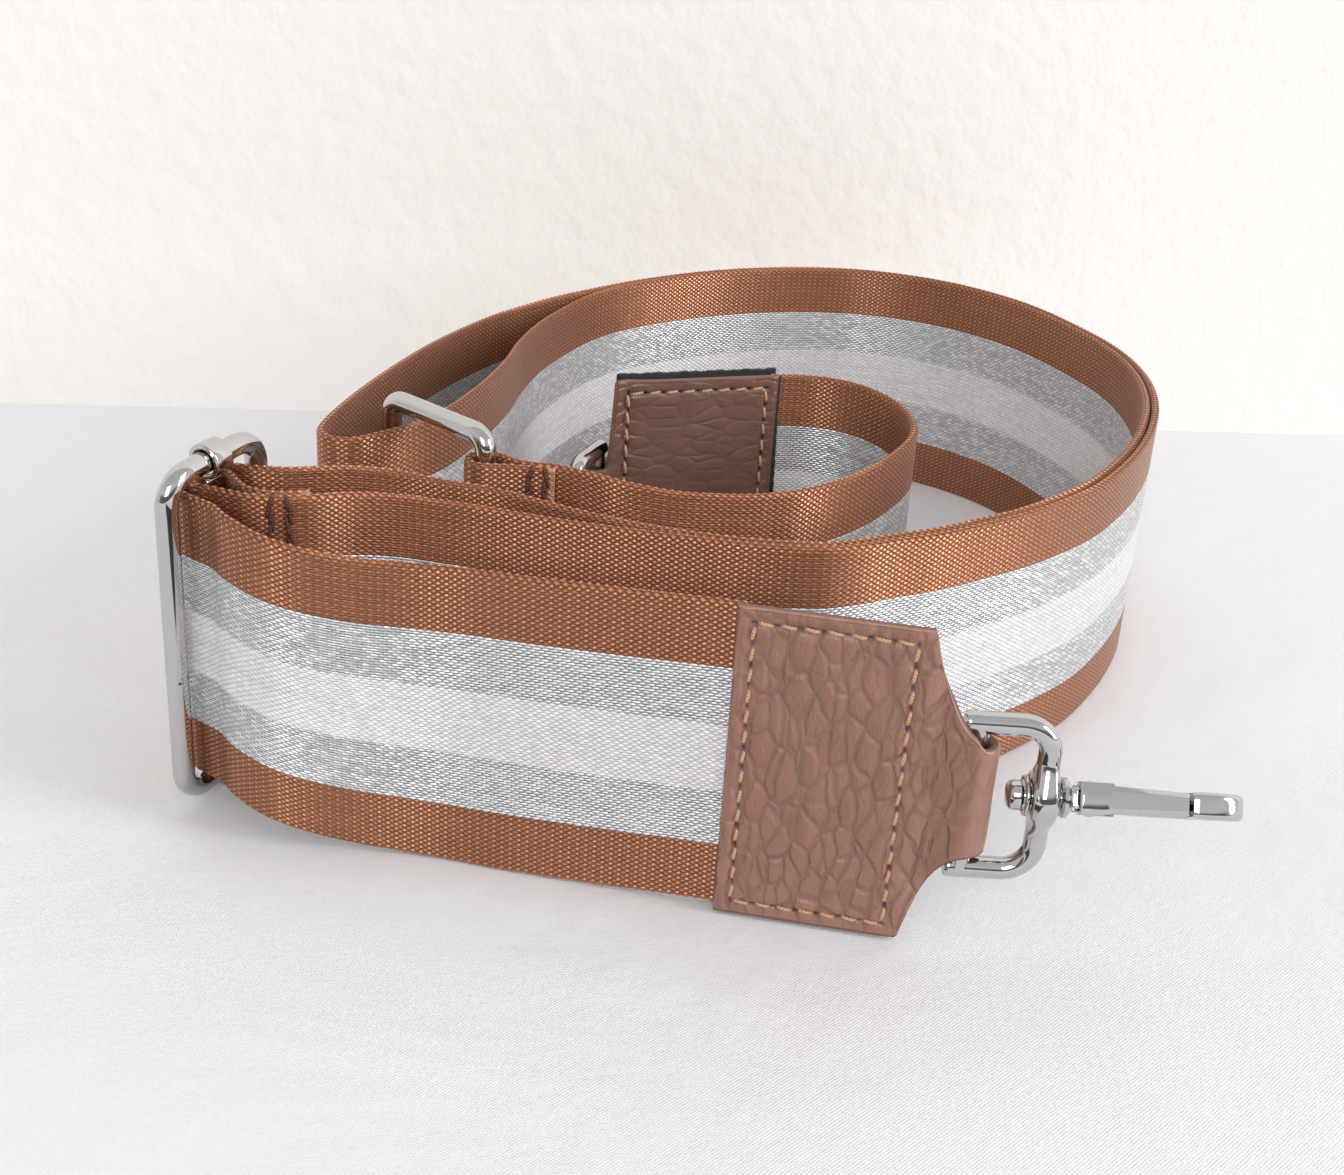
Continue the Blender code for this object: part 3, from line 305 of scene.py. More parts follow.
def woven_nylon(sizes, colours):
    """Warp-faced plain webbing. The warp covers the weft, so the eye sees brick-laid oval floats of
    shiny nylon, metal yarn in two of the five stripes, and stripes that end in fine teeth."""
    material, tree, shader = new_material("woven_nylon_webbing")
    cloth = add(tree, "UVMap", uv_map="weave")
    place = add(tree, "SeparateXYZ", {0: cloth})
    along, across = place.outputs[0], place.outputs[1]
    rows = add(tree, "Math:DIVIDE", along, sizes.float_long)
    ends = add(tree, "Math:DIVIDE", across, sizes.yarn_wide)
    # The border between two yarns swings to and fro, as each float bulges over its neighbour. It
    # swings less among the flat metal yarns.
    low_end = add(tree, "Math:FLOOR", ends)
    low_middle = add(tree, "Math:MULTIPLY_ADD", low_end, sizes.yarn_wide, -sizes.web_width / 2)
    low_reach = add(tree, "Math:ABSOLUTE", low_middle)
    flat = add(tree, "Math:SUBTRACT", add(tree, "Math:LESS_THAN", low_reach, sizes.silver_half),
               add(tree, "Math:LESS_THAN", low_reach, sizes.cream_half))
    size = add(tree, "Math:MULTIPLY_ADD", flat, -0.15, 0.27)
    turn = add(tree, "Math:MULTIPLY_ADD", low_end, 0.5, rows)
    swing = add(tree, "Math:COSINE", add(tree, "Math:MULTIPLY", turn, 2 * pi))
    border = add(tree, "Math:MULTIPLY_ADD", swing, size, 0.5)
    past = add(tree, "Math:GREATER_THAN", add(tree, "Math:FRACT", ends), border)
    end = add(tree, "Math:ADD", low_end, past)
    # Each float's own number, and the place inside it as a share of its width there.
    raised = add(tree, "Math:ADD", add(tree, "Math:MULTIPLY_ADD", end, 0.5, rows), 0.5)
    number = add(tree, "Math:FLOOR", raised)
    off_long = add(tree, "Math:SUBTRACT", add(tree, "Math:FRACT", raised), 0.5)
    off_wide = add(tree, "Math:SUBTRACT", ends, end)
    bulge = add(tree, "Math:COSINE", add(tree, "Math:MULTIPLY", off_long, 2 * pi))
    share = add(tree, "Math:DIVIDE", off_wide, add(tree, "Math:MULTIPLY_ADD", bulge, size, 0.5))
    wide_drop = add(tree, "Math:MULTIPLY_ADD", add(tree, "Math:MULTIPLY", share, share), -1.0, 1.0)
    long_square = add(tree, "Math:MULTIPLY", off_long, off_long)
    long_fourth = add(tree, "Math:MULTIPLY", long_square, long_square)
    long_drop = add(tree, "Math:MULTIPLY_ADD", long_fourth, -10.0, 1.0)
    dome = add(tree, "Math:MULTIPLY", wide_drop, long_drop, use_clamp=True)
    crown = add(tree, "Math:MULTIPLY", wide_drop, add(tree, "Math:MULTIPLY_ADD", long_square, -9.0, 1.0),
                use_clamp=True)
    key = add(tree, "CombineXYZ", end, number)
    chance = add(tree, "TexWhiteNoise", {"Vector": key}, noise_dimensions="2D")
    # Stripes are whole yarns, counted from the webbing's middle.
    middle = add(tree, "Math:MULTIPLY_ADD", end, sizes.yarn_wide, -sizes.web_width / 2)
    reach = add(tree, "Math:ABSOLUTE", middle)
    in_cream = add(tree, "Math:LESS_THAN", reach, sizes.cream_half)
    in_silver = add(tree, "Math:LESS_THAN", reach, sizes.silver_half)
    metal = add(tree, "Math:SUBTRACT", in_silver, in_cream)
    # Every second nylon yarn lies a little lower.
    pair = add(tree, "Math:FRACT", add(tree, "Math:MULTIPLY", end, 0.5))
    lower = add(tree, "Math:MULTIPLY", pair, add(tree, "Math:MULTIPLY_ADD", metal, 0.5, -0.5))
    hill = add(tree, "Math:MULTIPLY", dome, add(tree, "Math:ADD", lower, 1.0))
    # Filaments of about 0.1 mm run along each float, drawn about twice their real size.
    stretch = add(tree, "Mapping", {"Vector": cloth, "Scale": (800.0, 6500.0, 1.0)})
    fibres = add(tree, "TexNoise", {"Vector": stretch, "Scale": 1.0, "Detail": 2.0})
    # Lengths of dye lot and wear, a few centimetres long, and thicker and thinner yarns.
    shift = add(tree, "Mapping", {"Vector": cloth, "Scale": (24.0, 900.0, 1.0)})
    lots = add(tree, "TexNoise", {"Vector": shift, "Scale": 1.0, "Detail": 3.0})
    # Each float's colour runs from dark at its sides and ends, painted shade in the gaps between floats,
    # through its own colour to paler at its top, a painted highlight. The lower yarns come out darker the
    # same way.
    tints = []
    for colour, dark, light, rise in (
            (colours.nylon, 0.26, 1.20, 0.34), (colours.lurex, 0.08, 1.10, 0.66),
            (colours.cream, 0.50, 1.06, 0.40)):
        ramp = add(tree, "ValToRGB", hill)
        low, high = ramp.color_ramp.elements
        low.color = (*(share * dark for share in colour), 1.0)
        high.color = (*(min(share * light, 0.93) for share in colour), 1.0)
        plain = ramp.color_ramp.elements.new(rise)
        plain.color = (*(min(share * 0.94, 0.93) for share in colour), 1.0)
        tints.append(ramp)
    stripes = mix(tree, in_cream, mix(tree, in_silver, tints[0], tints[1]), tints[2])
    # Painted highlight: each nylon float is paler at its crown, on every second yarn most of all. Metal
    # yarn gets painted glints instead: here and there a whole float is bright.
    tip = add(tree, "MapRange", crown, 0.50, 0.95, interpolation_type="SMOOTHSTEP")
    nylon_highlight = add(tree, "Math:MULTIPLY", tip, add(tree, "Math:MULTIPLY_ADD", pair, -1.2, 1.0))
    lit = add(tree, "MapRange", chance.outputs[0], 0.66, 0.92)
    metal_glint = add(tree, "Math:MULTIPLY", lit, add(tree, "MapRange", dome, 0.50, 0.85))
    painted_highlight = add(tree, "Mix", {0: metal, 2: nylon_highlight, 3: metal_glint})
    pale = mix(tree, in_silver, (0.92, 0.63, 0.48, 1.0), (0.95, 0.95, 0.96, 1.0))
    highlight_share = add(tree, "Math:MULTIPLY", painted_highlight, add(tree, "Math:MULTIPLY_ADD", metal, 0.35, 0.60))
    highlighted = mix(tree, highlight_share, stripes, pale)
    # Each float's brightness also differs at random, a little among the nylon yarns and more among the
    # metal yarns, where the spread is painted glitter.
    spread = add(tree, "Math:MULTIPLY_ADD", metal, 0.20, 0.16)
    start = add(tree, "Math:MULTIPLY_ADD", spread, -0.6, 1.0)
    bright = add(tree, "Math:MULTIPLY_ADD", chance.outputs[0], spread, start)
    thread = add(tree, "Math:MULTIPLY_ADD", fibres, 0.36, 0.82)
    cast = add(tree, "Math:MULTIPLY_ADD", lots, 0.24, 0.88)
    level = add(tree, "Math:MULTIPLY", add(tree, "Math:MULTIPLY", bright, thread), cast)
    tone = add(tree, "VectorMath:SCALE", {0: highlighted, "Scale": level})
    # The cut ends are sealed with heat, which leaves them paler and smoother.
    sealed = add(tree, "Attribute", attribute_name="sealed")
    finish = mix(tree, sealed.outputs[2], tone, (0.62, 0.34, 0.22, 1.0))
    rough = add(tree, "Math:MULTIPLY_ADD", metal, -0.04, 0.38)
    rougher = add(tree, "Math:MULTIPLY_ADD", chance.outputs[0], 0.06, rough)
    shine = add(tree, "Math:MULTIPLY_ADD", metal, -0.22,
                add(tree, "Math:MULTIPLY_ADD", in_cream, -0.65, 0.80))
    satin = add(tree, "Math:MULTIPLY_ADD", metal, -0.25, 1.0)
    # At the selvedge the yarns turn back over the edge, and slant.
    edge_way = add(tree, "Math:MULTIPLY_ADD", across, 1100.0, rows)
    edge_wave = add(tree, "Math:COSINE", add(tree, "Math:MULTIPLY", edge_way, 2 * pi))
    edge_rise = add(tree, "Math:MULTIPLY_ADD", edge_wave, 0.45, 0.5)
    side = add(tree, "Math:ABSOLUTE", add(tree, "Math:SUBTRACT", across, sizes.web_width / 2))
    at_edge = add(tree, "Math:GREATER_THAN", side, sizes.web_width / 2 - 0.0004)
    relief = add(tree, "Mix", {0: at_edge, 2: hill, 3: edge_rise})
    # Each metal float also lies at its own small tilt, which is what makes it glitter.
    lean = add(tree, "Math:MULTIPLY", add(tree, "Math:SUBTRACT", chance.outputs[0], 0.5), off_long)
    tilted = add(tree, "Math:MULTIPLY_ADD", lean, add(tree, "Math:MULTIPLY", metal, 1.4), relief)
    fine = add(tree, "Math:MULTIPLY_ADD", fibres, 0.14, tilted)
    bump = add(tree, "Bump", {"Height": fine, "Strength": 1.0, "Distance": 0.00016})
    # Fine filaments side by side spread each glint across the webbing, as satin does.
    grain = add(tree, "Tangent", direction_type="UV_MAP", uv_map="weave")
    shade(tree, shader, Base_Color=finish, Roughness=rougher, Metallic=shine,
          Normal=bump, Specular_IOR_Level=0.7, Anisotropic=satin, Anisotropic_Rotation=0.25,
          Tangent=grain)
    return material


def full_grain_leather(sizes, colours):
    """Drum-dyed, milled and waxed cowhide: long soft pebbles between fine creases, with a low wax
    shine that catches on each crease's edge, and flat where the hide is pulled round the bar."""
    material, tree, shader = new_material("pebbled_leather")
    hide = add(tree, "UVMap", uv_map="weave")
    flat = add(tree, "Attribute", attribute_name="flat")
    hole = add(tree, "Attribute", attribute_name="hole")
    wander = add(tree, "TexNoise", {"Vector": hide, "Scale": 190.0, "Detail": 1.0})
    pull = add(tree, "VectorMath:SUBTRACT", wander.outputs[1], (0.5, 0.5, 0.5))
    moved = add(tree, "VectorMath:MULTIPLY_ADD", pull, (0.0018, 0.0018, 0.0), hide)
    creases = []
    # Pebbles, and inside them wrinkles three times as fine.
    for long, reach in ((sizes.grain_long, 0.19), (sizes.grain_long / 3.4, 0.28)):
        scale = (1.0 / (long * 0.46), 1.0 / long, 1.0)
        stretch = add(tree, "Mapping",
                      {"Vector": moved, "Rotation": (0.0, 0.0, radians(16.0)), "Scale": scale})
        rim = add(tree, "TexVoronoi", {"Vector": stretch, "Scale": 1.0}, feature="DISTANCE_TO_EDGE")
        crease = add(tree, "MapRange", {0: rim, 2: reach}, interpolation_type="SMOOTHSTEP")
        off = add(tree, "TexVoronoi", {"Vector": stretch, "Scale": 1.0}, feature="F1")
        square = add(tree, "Math:MULTIPLY", off, off)
        creases.append(add(tree, "Math:MULTIPLY_ADD", square, -1.2, crease))
    fade = add(tree, "TexNoise", {"Vector": hide, "Scale": 170.0, "Detail": 3.0})
    # Creases run out in places: the noise lets them through only where it is high.
    depth = add(tree, "MapRange", fade, 0.36, 0.56, 0.75, 1.0)
    depth = add(tree, "Math:MULTIPLY", depth, add(tree, "Math:MULTIPLY_ADD", flat.outputs[2], -0.85, 1.0))
    pebble = add(tree, "Math:MULTIPLY", add(tree, "Math:SUBTRACT", creases[0], 1.0), depth)
    small = add(tree, "Math:MULTIPLY", add(tree, "Math:SUBTRACT", creases[1], 1.0), depth)
    both = add(tree, "Math:MULTIPLY_ADD", small, 0.12, pebble)
    pores = add(tree, "TexNoise",
                {"Vector": hide, "Scale": 3400.0, "Detail": 3.0, "Roughness": 0.6})
    patches = add(tree, "TexNoise", {"Vector": hide, "Scale": 110.0, "Detail": 4.0})
    light = add(tree, "Math:MULTIPLY_ADD", patches, 0.36, 0.82)
    # Each pebble is drawn darker towards its rim and darkest in the creases: painted shade.
    dark = add(tree, "Math:MULTIPLY_ADD", both, 0.13, light)
    speck = add(tree, "Math:MULTIPLY_ADD", pores, 0.16, 0.92)
    # Stitch holes are drawn almost black, painted shade in them, and tab b is drawn darker all over,
    # painted shade.
    painted_tab_shade = add(tree, "Attribute", attribute_name="shade")
    level = add(tree, "Math:MULTIPLY", add(tree, "Math:MULTIPLY", dark, speck),
                add(tree, "Math:MULTIPLY_ADD", hole.outputs[2], -0.85, painted_tab_shade.outputs[2]))
    tone = add(tree, "VectorMath:SCALE", {0: tuple(colours.leather), "Scale": level})
    rough = add(tree, "Math:MULTIPLY_ADD", both, -0.14, 0.23)
    rougher = add(tree, "Math:MULTIPLY_ADD", pores, 0.16, rough)
    relief = add(tree, "Math:MULTIPLY_ADD", pores, 0.10, both)
    bump = add(tree, "Bump", {"Height": relief, "Strength": 1.0, "Distance": 0.00030})
    shade(tree, shader, Base_Color=tone, Roughness=rougher, Normal=bump, Specular_IOR_Level=0.75)
    return material


def cut_leather(colours):
    """The knife-cut side of the hide, dyed to match and left raw: fibrous, matt and darker."""
    material, tree, shader = new_material("cut_leather_edge")
    space = add(tree, "TexCoord")
    fibres = add(tree, "TexNoise",
                 {"Vector": space.outputs[3], "Scale": 3000.0, "Detail": 4.0, "Roughness": 0.7})
    level = add(tree, "Math:MULTIPLY_ADD", fibres, 0.7, 0.3)
    raw = tuple(share * 1.05 for share in colours.leather)
    tone = add(tree, "VectorMath:SCALE", {0: raw, "Scale": level})
    bump = add(tree, "Bump", {"Height": fibres, "Strength": 0.8, "Distance": 0.0001})
    shade(tree, shader, Base_Color=tone, Roughness=0.85, Normal=bump)
    return material


def bonded_felt(colours):
    """Needle-punched and pressed felt: matt black with short stray fibres that catch the light."""
    material, tree, shader = new_material("bonded_felt")
    space = add(tree, "TexCoord")
    fibres = add(tree, "TexNoise",
                 {"Vector": space.outputs[3], "Scale": 2600.0, "Detail": 5.0, "Distortion": 1.5})
    level = add(tree, "Math:MULTIPLY_ADD", fibres, 1.5, 0.3)
    tone = add(tree, "VectorMath:SCALE", {0: tuple(colours.felt), "Scale": level})
    bump = add(tree, "Bump", {"Height": fibres, "Strength": 0.9, "Distance": 0.00015})
    shade(tree, shader, Base_Color=tone, Roughness=0.9, Normal=bump, Sheen_Weight=0.25)
    return material


def twisted_thread(name, colour):
    """Three-ply bonded polyester thread: slanted plies, each drawn lighter on its crown and darker in the
    turns between, a painted highlight and painted shade.
    """
    material, tree, shader = new_material(name)
    cloth = add(tree, "UVMap", uv_map="weave")
    place = add(tree, "SeparateXYZ", {0: cloth})
    # One ply passes each 0.5 mm of thread, and slants once round it.
    turns = add(tree, "Math:MULTIPLY_ADD", place.outputs[0], 2000.0, place.outputs[1])
    plies = add(tree, "Math:COSINE", add(tree, "Math:MULTIPLY", turns, 2 * pi))
    # Each ply is drawn lighter on its crown and darker in the turn between plies: painted highlight and
    # painted shade.
    level = add(tree, "Math:MULTIPLY_ADD", plies, 0.14, 0.88)
    tone = add(tree, "VectorMath:SCALE", {0: tuple(colour), "Scale": level})
    bump = add(tree, "Bump", {"Height": plies, "Strength": 0.8, "Distance": 0.00005})
    shade(tree, shader, Base_Color=tone, Roughness=0.6, Normal=bump, Specular_IOR_Level=0.3)
    return material


def nickel_plate(colours):
    """Die-cast and drawn metal, buffed and nickel plated: a warm mirror with faint buffing haze."""
    material, tree, shader = new_material("polished_nickel")
    space = add(tree, "TexCoord")
    haze = add(tree, "TexNoise",
               {"Vector": space.outputs[3], "Scale": 260.0, "Detail": 5.0, "Roughness": 0.6})
    rough = add(tree, "Math:MULTIPLY_ADD", haze, 0.06, 0.02)
    # Buffing leaves a skin that is flat only to a few thousandths of a millimetre.
    swell = add(tree, "TexNoise", {"Vector": space.outputs[3], "Scale": 420.0, "Detail": 1.0})
    bump = add(tree, "Bump", {"Height": swell, "Strength": 0.25, "Distance": 0.00004})
    shade(tree, shader, Base_Color=(*colours.nickel, 1.0), Metallic=1.0, Roughness=rough, Normal=bump)
    return material


def smooth_line(rows, step=0.0001):
    """Fill a given route with close points, on the same curve as the solids' facets."""
    filled = [rows[:1]]
    last = len(rows) - 1
    for index in range(last):
        before, start = rows[max(index - 1, 0)], rows[index]
        end, after = rows[index + 1], rows[min(index + 2, last)]
        span = np.linalg.norm(end - start)
        lead = (end - before) * span / max(np.linalg.norm(end - before), 1e-9)
        trail = (after - start) * span / max(np.linalg.norm(after - start), 1e-9)
        pieces = max(2, int(np.ceil(span / step)))
        t = (np.arange(1, pieces + 1) / pieces)[:, None]
        filled.append(start * (2 * t**3 - 3 * t**2 + 1) + lead * (t**3 - 2 * t**2 + t)
                      + end * (3 * t**2 - 2 * t**3) + trail * (t**3 - t**2))
    return np.concatenate(filled)


def even_line(points, step):
    """The same line with evenly spaced points, and each one's distance along it."""
    steps = np.linalg.norm(np.diff(points, axis=0), axis=1)
    keep = np.concatenate([[True], steps > 1e-9])
    points = points[keep]
    along = np.concatenate([[0.0], np.cumsum(np.linalg.norm(np.diff(points, axis=0), axis=1))])
    places = np.linspace(0.0, along[-1], int(round(along[-1] / step)) + 1)
    return np.stack([np.interp(places, along, points[:, k]) for k in range(3)], axis=1), places


def ease_joints(points, marks, reach=0.004, passes=70):
    """Smooth a line near the places where two parts of its route meet."""
    share = np.zeros(len(points))
    for mark in marks:
        near = np.linalg.norm(points - mark, axis=1) / reach
        share = np.maximum(share, np.clip(1.5 - near, 0.0, 1.0))
    share[0] = share[-1] = 0.0
    share = share[1:-1, None]
    for _ in range(passes):
        points[1:-1] += share * 0.5 * ((points[:-2] + points[2:]) / 2 - points[1:-1])
    return points


def table_rows(table, base=Vector()):
    """A table in mm as points in metres, on the floor round the strap's middle."""
    return np.array(table) * MM + np.array(base - MIDDLE)


def left_of(points, step):
    """The same line moved sideways, to the left of its own direction."""
    ahead = np.gradient(points, axis=0)
    side = np.stack([-ahead[:, 1], ahead[:, 0], np.zeros(len(points))], axis=1)
    return points + side / np.linalg.norm(side, axis=1)[:, None] * step


def ramp_share(value, none, full):
    """A smooth share from nothing at one place to all at another."""
    share = np.clip((value - none) / (full - none), 0.0, 1.0)
    return share**2 * (3 - 2 * share)


def lean_points(points, height, width):
    """Places at a height above the long route, along the strap's leaning width."""
    slider = LEAN * ramp_share(points[:, 0], LEAN_NONE, LEAN_FULL) * (points[:, 1] < LEAN_BEHIND)
    bend = BEND_LEAN * ramp_share(points[:, 0], BEND_NONE.x, BEND_FULL.x)
    bend = bend * ramp_share(points[:, 1], BEND_NONE.y, BEND_FULL.y) * (points[:, 1] > BEND_FRONT)
    tip = np.outer(np.sin(slider) * (points[:, 2] + height), LEAN_WAY)
    tip += np.outer(np.sin(bend) * (height - width), BEND_WAY)
    return points + tip + np.outer(np.cos(slider + bend) * height, UP)


def inside_tab(letter):
    """The webbing's last stretch, from one tab's free edge to its own end in the tab."""
    tab = TABS[letter]
    enters = np.array(tab.start + UP * TAB_LIFT - MIDDLE)
    return [enters, enters + np.array(tab.along) * WEB_INSIDE]


def long_line(sizes):
    """The long webbing's line, and the places where parts of its route meet."""
    sewn = table_rows(SEWN_LOOP, SLIDER_CENTRE)
    turn = table_rows(SLIDER_TURN_ROUTE, SLIDER_CENTRE)
    outer = smooth_line(table_rows(BIG_LOOP))
    inner = left_of(outer, sizes.web_thick + GAP)[::-1]
    first = smooth_line(np.concatenate([sewn, table_rows(MIDDLE_RUN), outer[:1]]))
    left = smooth_line(np.concatenate([outer[-1:], table_rows(LEFT_TURN), inner[:1]]))
    last = smooth_line(np.concatenate(
        [inner[-1:], table_rows(BACK_RUN), turn, table_rows(FRONT_RUN), inside_tab("a")]))
    line = np.concatenate([first[:-1], outer[:-1], left[:-1], inner[:-1], last])
    return line, (outer[0], outer[-1], inner[0], inner[-1])


def short_line():
    """The short webbing's line: sewn loop round the ring, front run, small turn, back to tab b."""
    reach = RING_WIRE + GAP + WEB_HALF_THICK
    lift = np.array((0.0, 0.0, RING_TAIL[0][2] * MM))
    angles = [-pi / 2 - pi * step / 6 for step in range(7)]
    wrap = np.array([(cos(a) * reach, sin(a) * reach, 0.0) for a in angles])
    wrap += np.array(RING_NEAR - MIDDLE) + lift
    rows = [table_rows(RING_TAIL), wrap, table_rows(SHORT_RUN), inside_tab("b")]
    return smooth_line(np.concatenate(rows))


def skin(name, rings, closed=False, uv=None, values=None):
    """A mesh through rings of points: quads between neighbours, and a fan over each open end."""
    count, around = rings.shape[:2]
    i = np.arange(count if closed else count - 1)[:, None]
    j = np.arange(around)[None, :]
    a = i * around + j
    b = i * around + (j + 1) % around
    c = ((i + 1) % count) * around + (j + 1) % around
    d = ((i + 1) % count) * around + j
    quads = np.stack(np.broadcast_arrays(a, b, c, d), axis=-1).reshape(-1, 4)
    points = rings.reshape(-1, 3)
    inside = np.einsum("ij,ij->i", points[quads[:, 0]],
                       np.cross(points[quads[:, 1]], points[quads[:, 2]])).sum()
    inside += np.einsum("ij,ij->i", points[quads[:, 0]],
                        np.cross(points[quads[:, 2]], points[quads[:, 3]])).sum()
    faces = quads.tolist()
    if not closed:
        faces.append(list(range(around))[::-1])
        faces.append([(count - 1) * around + k for k in range(around)])
    if inside < 0:
        faces = [face[::-1] for face in faces]
    mesh = bpy.data.meshes.new(name)
    mesh.from_pydata(points.tolist(), [], faces)
    corners = np.empty(len(mesh.loops), dtype=np.int32)
    mesh.loops.foreach_get("vertex_index", corners)
    if uv is not None:
        layer = mesh.uv_layers.new(name="weave")
        layer.data.foreach_set("uv", uv.reshape(-1, 2)[corners].astype(np.float32).ravel())
    for key, value in (values or {}).items():
        attribute = mesh.attributes.new(key, "FLOAT", "POINT")
        attribute.data.foreach_set("value", np.broadcast_to(
            value, rings.shape[:2]).astype(np.float32).ravel())
    mesh.shade_smooth()
    return mesh


def put(name, mesh, material, body, slot, *nodes):
    """Show one piece: its finish, the body it rides on and the solids it stands for."""
    mesh.materials.clear()
    for finish in material if isinstance(material, (list, tuple)) else [material]:
        mesh.materials.append(finish)
    piece = bpy.data.objects.new(name, mesh)
    bpy.context.scene.collection.objects.link(piece)
    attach(piece, body)
    if nodes:
        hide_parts(*nodes)
    return piece


def get_finish(name, make, *details):
    """The named material, made once."""
    return bpy.data.materials.get(name) or make(*details)


def weave_band(name, line, sizes, leaning, marks=()):
    """Webbing on edge: a band with rounded, scalloped selvedges and sealed ends."""
    step = sizes.float_long / 4
    points, along = even_line(line, step)
    if marks:
        points, along = even_line(ease_joints(points, marks), step)
    width, thick = sizes.web_width, sizes.web_thick
    if leaning:
        foot, head = lean_points(points, 0.0, width), lean_points(points, width, width)
    else:
        foot, head = points, points + np.array(UP) * width
    rise = (head - foot) / np.linalg.norm(head - foot, axis=1)[:, None]
    ahead = np.gradient((foot + head) / 2, axis=0)
    side = np.cross(ahead, rise)
    side /= np.linalg.norm(side, axis=1)[:, None]
    edge = WEB_HALF_THICK
    flat = np.linspace(edge, width - edge, 7)
    round_off = np.radians(np.linspace(-90.0, 90.0, 7)[1:-1])
    # Once round the section: up the left face, over the top, down the right face, under the foot.
    across = np.concatenate([flat, width - edge + edge * np.cos(round_off),
                             flat[::-1], edge - edge * np.cos(round_off)])
    depth = np.concatenate([np.full(7, 0.5), -0.5 * np.sin(round_off),
                            np.full(7, -0.5), 0.5 * np.sin(round_off)]) * thick
    out = np.concatenate([np.zeros(7), np.cos(round_off), np.zeros(7), -np.cos(round_off)])
    girth = np.concatenate([flat, width - edge + thick / 2 * (round_off + pi / 2) / pi * 2,
                            flat[::-1], edge - thick / 2 * (round_off + pi / 2) / pi * 2])
    slant = np.concatenate([np.zeros(7), round_off, np.zeros(7), -round_off])
    scallop = 0.5 - 0.5 * np.cos(2 * pi * along[:, None] / sizes.float_long + 1.2 * slant[None, :])
    # Between the leather and the felt the sewn-in webbing is squeezed narrower.
    squeezed = ramp_share(along, along[-1] - WEB_INSIDE + 0.0006, along[-1] - WEB_INSIDE + 0.0026)
    share = 1.0 - squeezed[:, None] * 2 * TAB_PINCH / width
    across = width / 2 + (across[None, :] - width / 2) * share - out[None, :] * scallop * 0.00015
    from_end = np.minimum(along, along[-1] - along)
    melt = np.clip(1.5 - from_end / 0.0010, 0.0, 1.0)
    wobble = 0.5 + 0.5 * np.sin(across * 5200.0 + np.sin(across * 1900.0) * 2.0)
    depth = depth[None, :] * (1 + melt[:, None] * (0.08 + 0.12 * wobble))
    rings = foot[:, None] + rise[:, None] * across[..., None] + side[:, None] * depth[..., None]
    rings += ahead[:, None] / np.linalg.norm(ahead, axis=1)[:, None, None] * (
        (along < 0.001)[:, None] * -0.00025 * wobble * melt[:, None])[..., None]
    uv = np.stack(np.broadcast_arrays(along[:, None], girth[None, :]), axis=-1)
    return skin(name, rings, uv=uv, values={"sealed": melt[:, None] * 0.8}), along[-1]


def tube(name, line, radius, sides=20, closed=True, square=2.0, up=None):
    """A wire through close points. square above 2 makes its section a rounded square."""
    line = np.asarray(line, float)
    if closed:
        ahead = np.roll(line, -1, axis=0) - np.roll(line, 1, axis=0)
    else:
        ahead = np.gradient(line, axis=0)
    ahead /= np.linalg.norm(ahead, axis=1)[:, None]
    up = np.array(up if up is not None else (0.0, 1.0, 0.0), float)
    first = np.cross(ahead, up)
    first /= np.linalg.norm(first, axis=1)[:, None]
    second = np.cross(first, ahead)
    angle = 2 * pi * (np.arange(sides) + 0.5) / sides
    c, s = np.cos(angle), np.sin(angle)
    size = 1.0 / (np.abs(c) ** square + np.abs(s) ** square) ** (1.0 / square)
    radius = np.broadcast_to(np.asarray(radius, float), len(line))
    rings = line[:, None] + radius[:, None, None] * (
        first[:, None] * (c * size)[None, :, None] + second[:, None] * (s * size)[None, :, None])
    return skin(name, rings, closed=closed)


def lathe(name, profile, sides=40):
    """A turned shape about X: profile is a closed run of (along, radius) points."""
    profile = np.array(profile)
    angle = 2 * pi * np.arange(sides) / sides
    rings = np.stack([
        np.broadcast_to(profile[None, :, 0], (sides, len(profile))),
        np.cos(angle)[:, None] * profile[None, :, 1], np.sin(angle)[:, None] * profile[None, :, 1]],
        axis=-1)
    mesh = skin(name, rings, closed=True)
    weld = bmesh.new()
    weld.from_mesh(mesh)
    bmesh.ops.remove_doubles(weld, verts=weld.verts, dist=1e-7)
    bmesh.ops.recalc_face_normals(weld, faces=weld.faces)
    weld.to_mesh(mesh)
    weld.free()
    return mesh


def rounded_box(name, low, high, soften, steps=3):
    """A block between two corners with soft edges."""
    block = bmesh.new()
    bmesh.ops.create_cube(block, size=1.0)
    low, high = Vector(low), Vector(high)
    for vert in block.verts:
        share = vert.co + Vector((0.5, 0.5, 0.5))
        vert.co = Vector(a + (b - a) * s for a, b, s in zip(low, high, share))
    bmesh.ops.bevel(block, geom=list(block.edges), offset=soften, segments=steps, profile=0.5,
                    affect="EDGES")
    mesh = bpy.data.meshes.new(name)
    block.to_mesh(mesh)
    block.free()
    mesh.shade_smooth()
    return mesh


def fuse(name, base, joined, cut):
    """One mesh from shapes that are joined to the first and cut out of it."""
    work = []
    for mesh in (base, *joined, *cut):
        thing = bpy.data.objects.new("work", mesh)
        bpy.context.scene.collection.objects.link(thing)
        work.append(thing)
    for thing in work[1:]:
        step = work[0].modifiers.new("fuse", "BOOLEAN")
        step.operation = "UNION" if thing in work[1:1 + len(joined)] else "DIFFERENCE"
        step.solver = "EXACT"
        step.object = thing
    graph = bpy.context.evaluated_depsgraph_get()
    mesh = bpy.data.meshes.new_from_object(work[0].evaluated_get(graph))
    mesh.name = name
    for thing in work:
        bpy.data.objects.remove(thing, do_unlink=True)
    mesh.shade_smooth()
    mesh.set_sharp_from_angle(angle=radians(38.0))
    return mesh


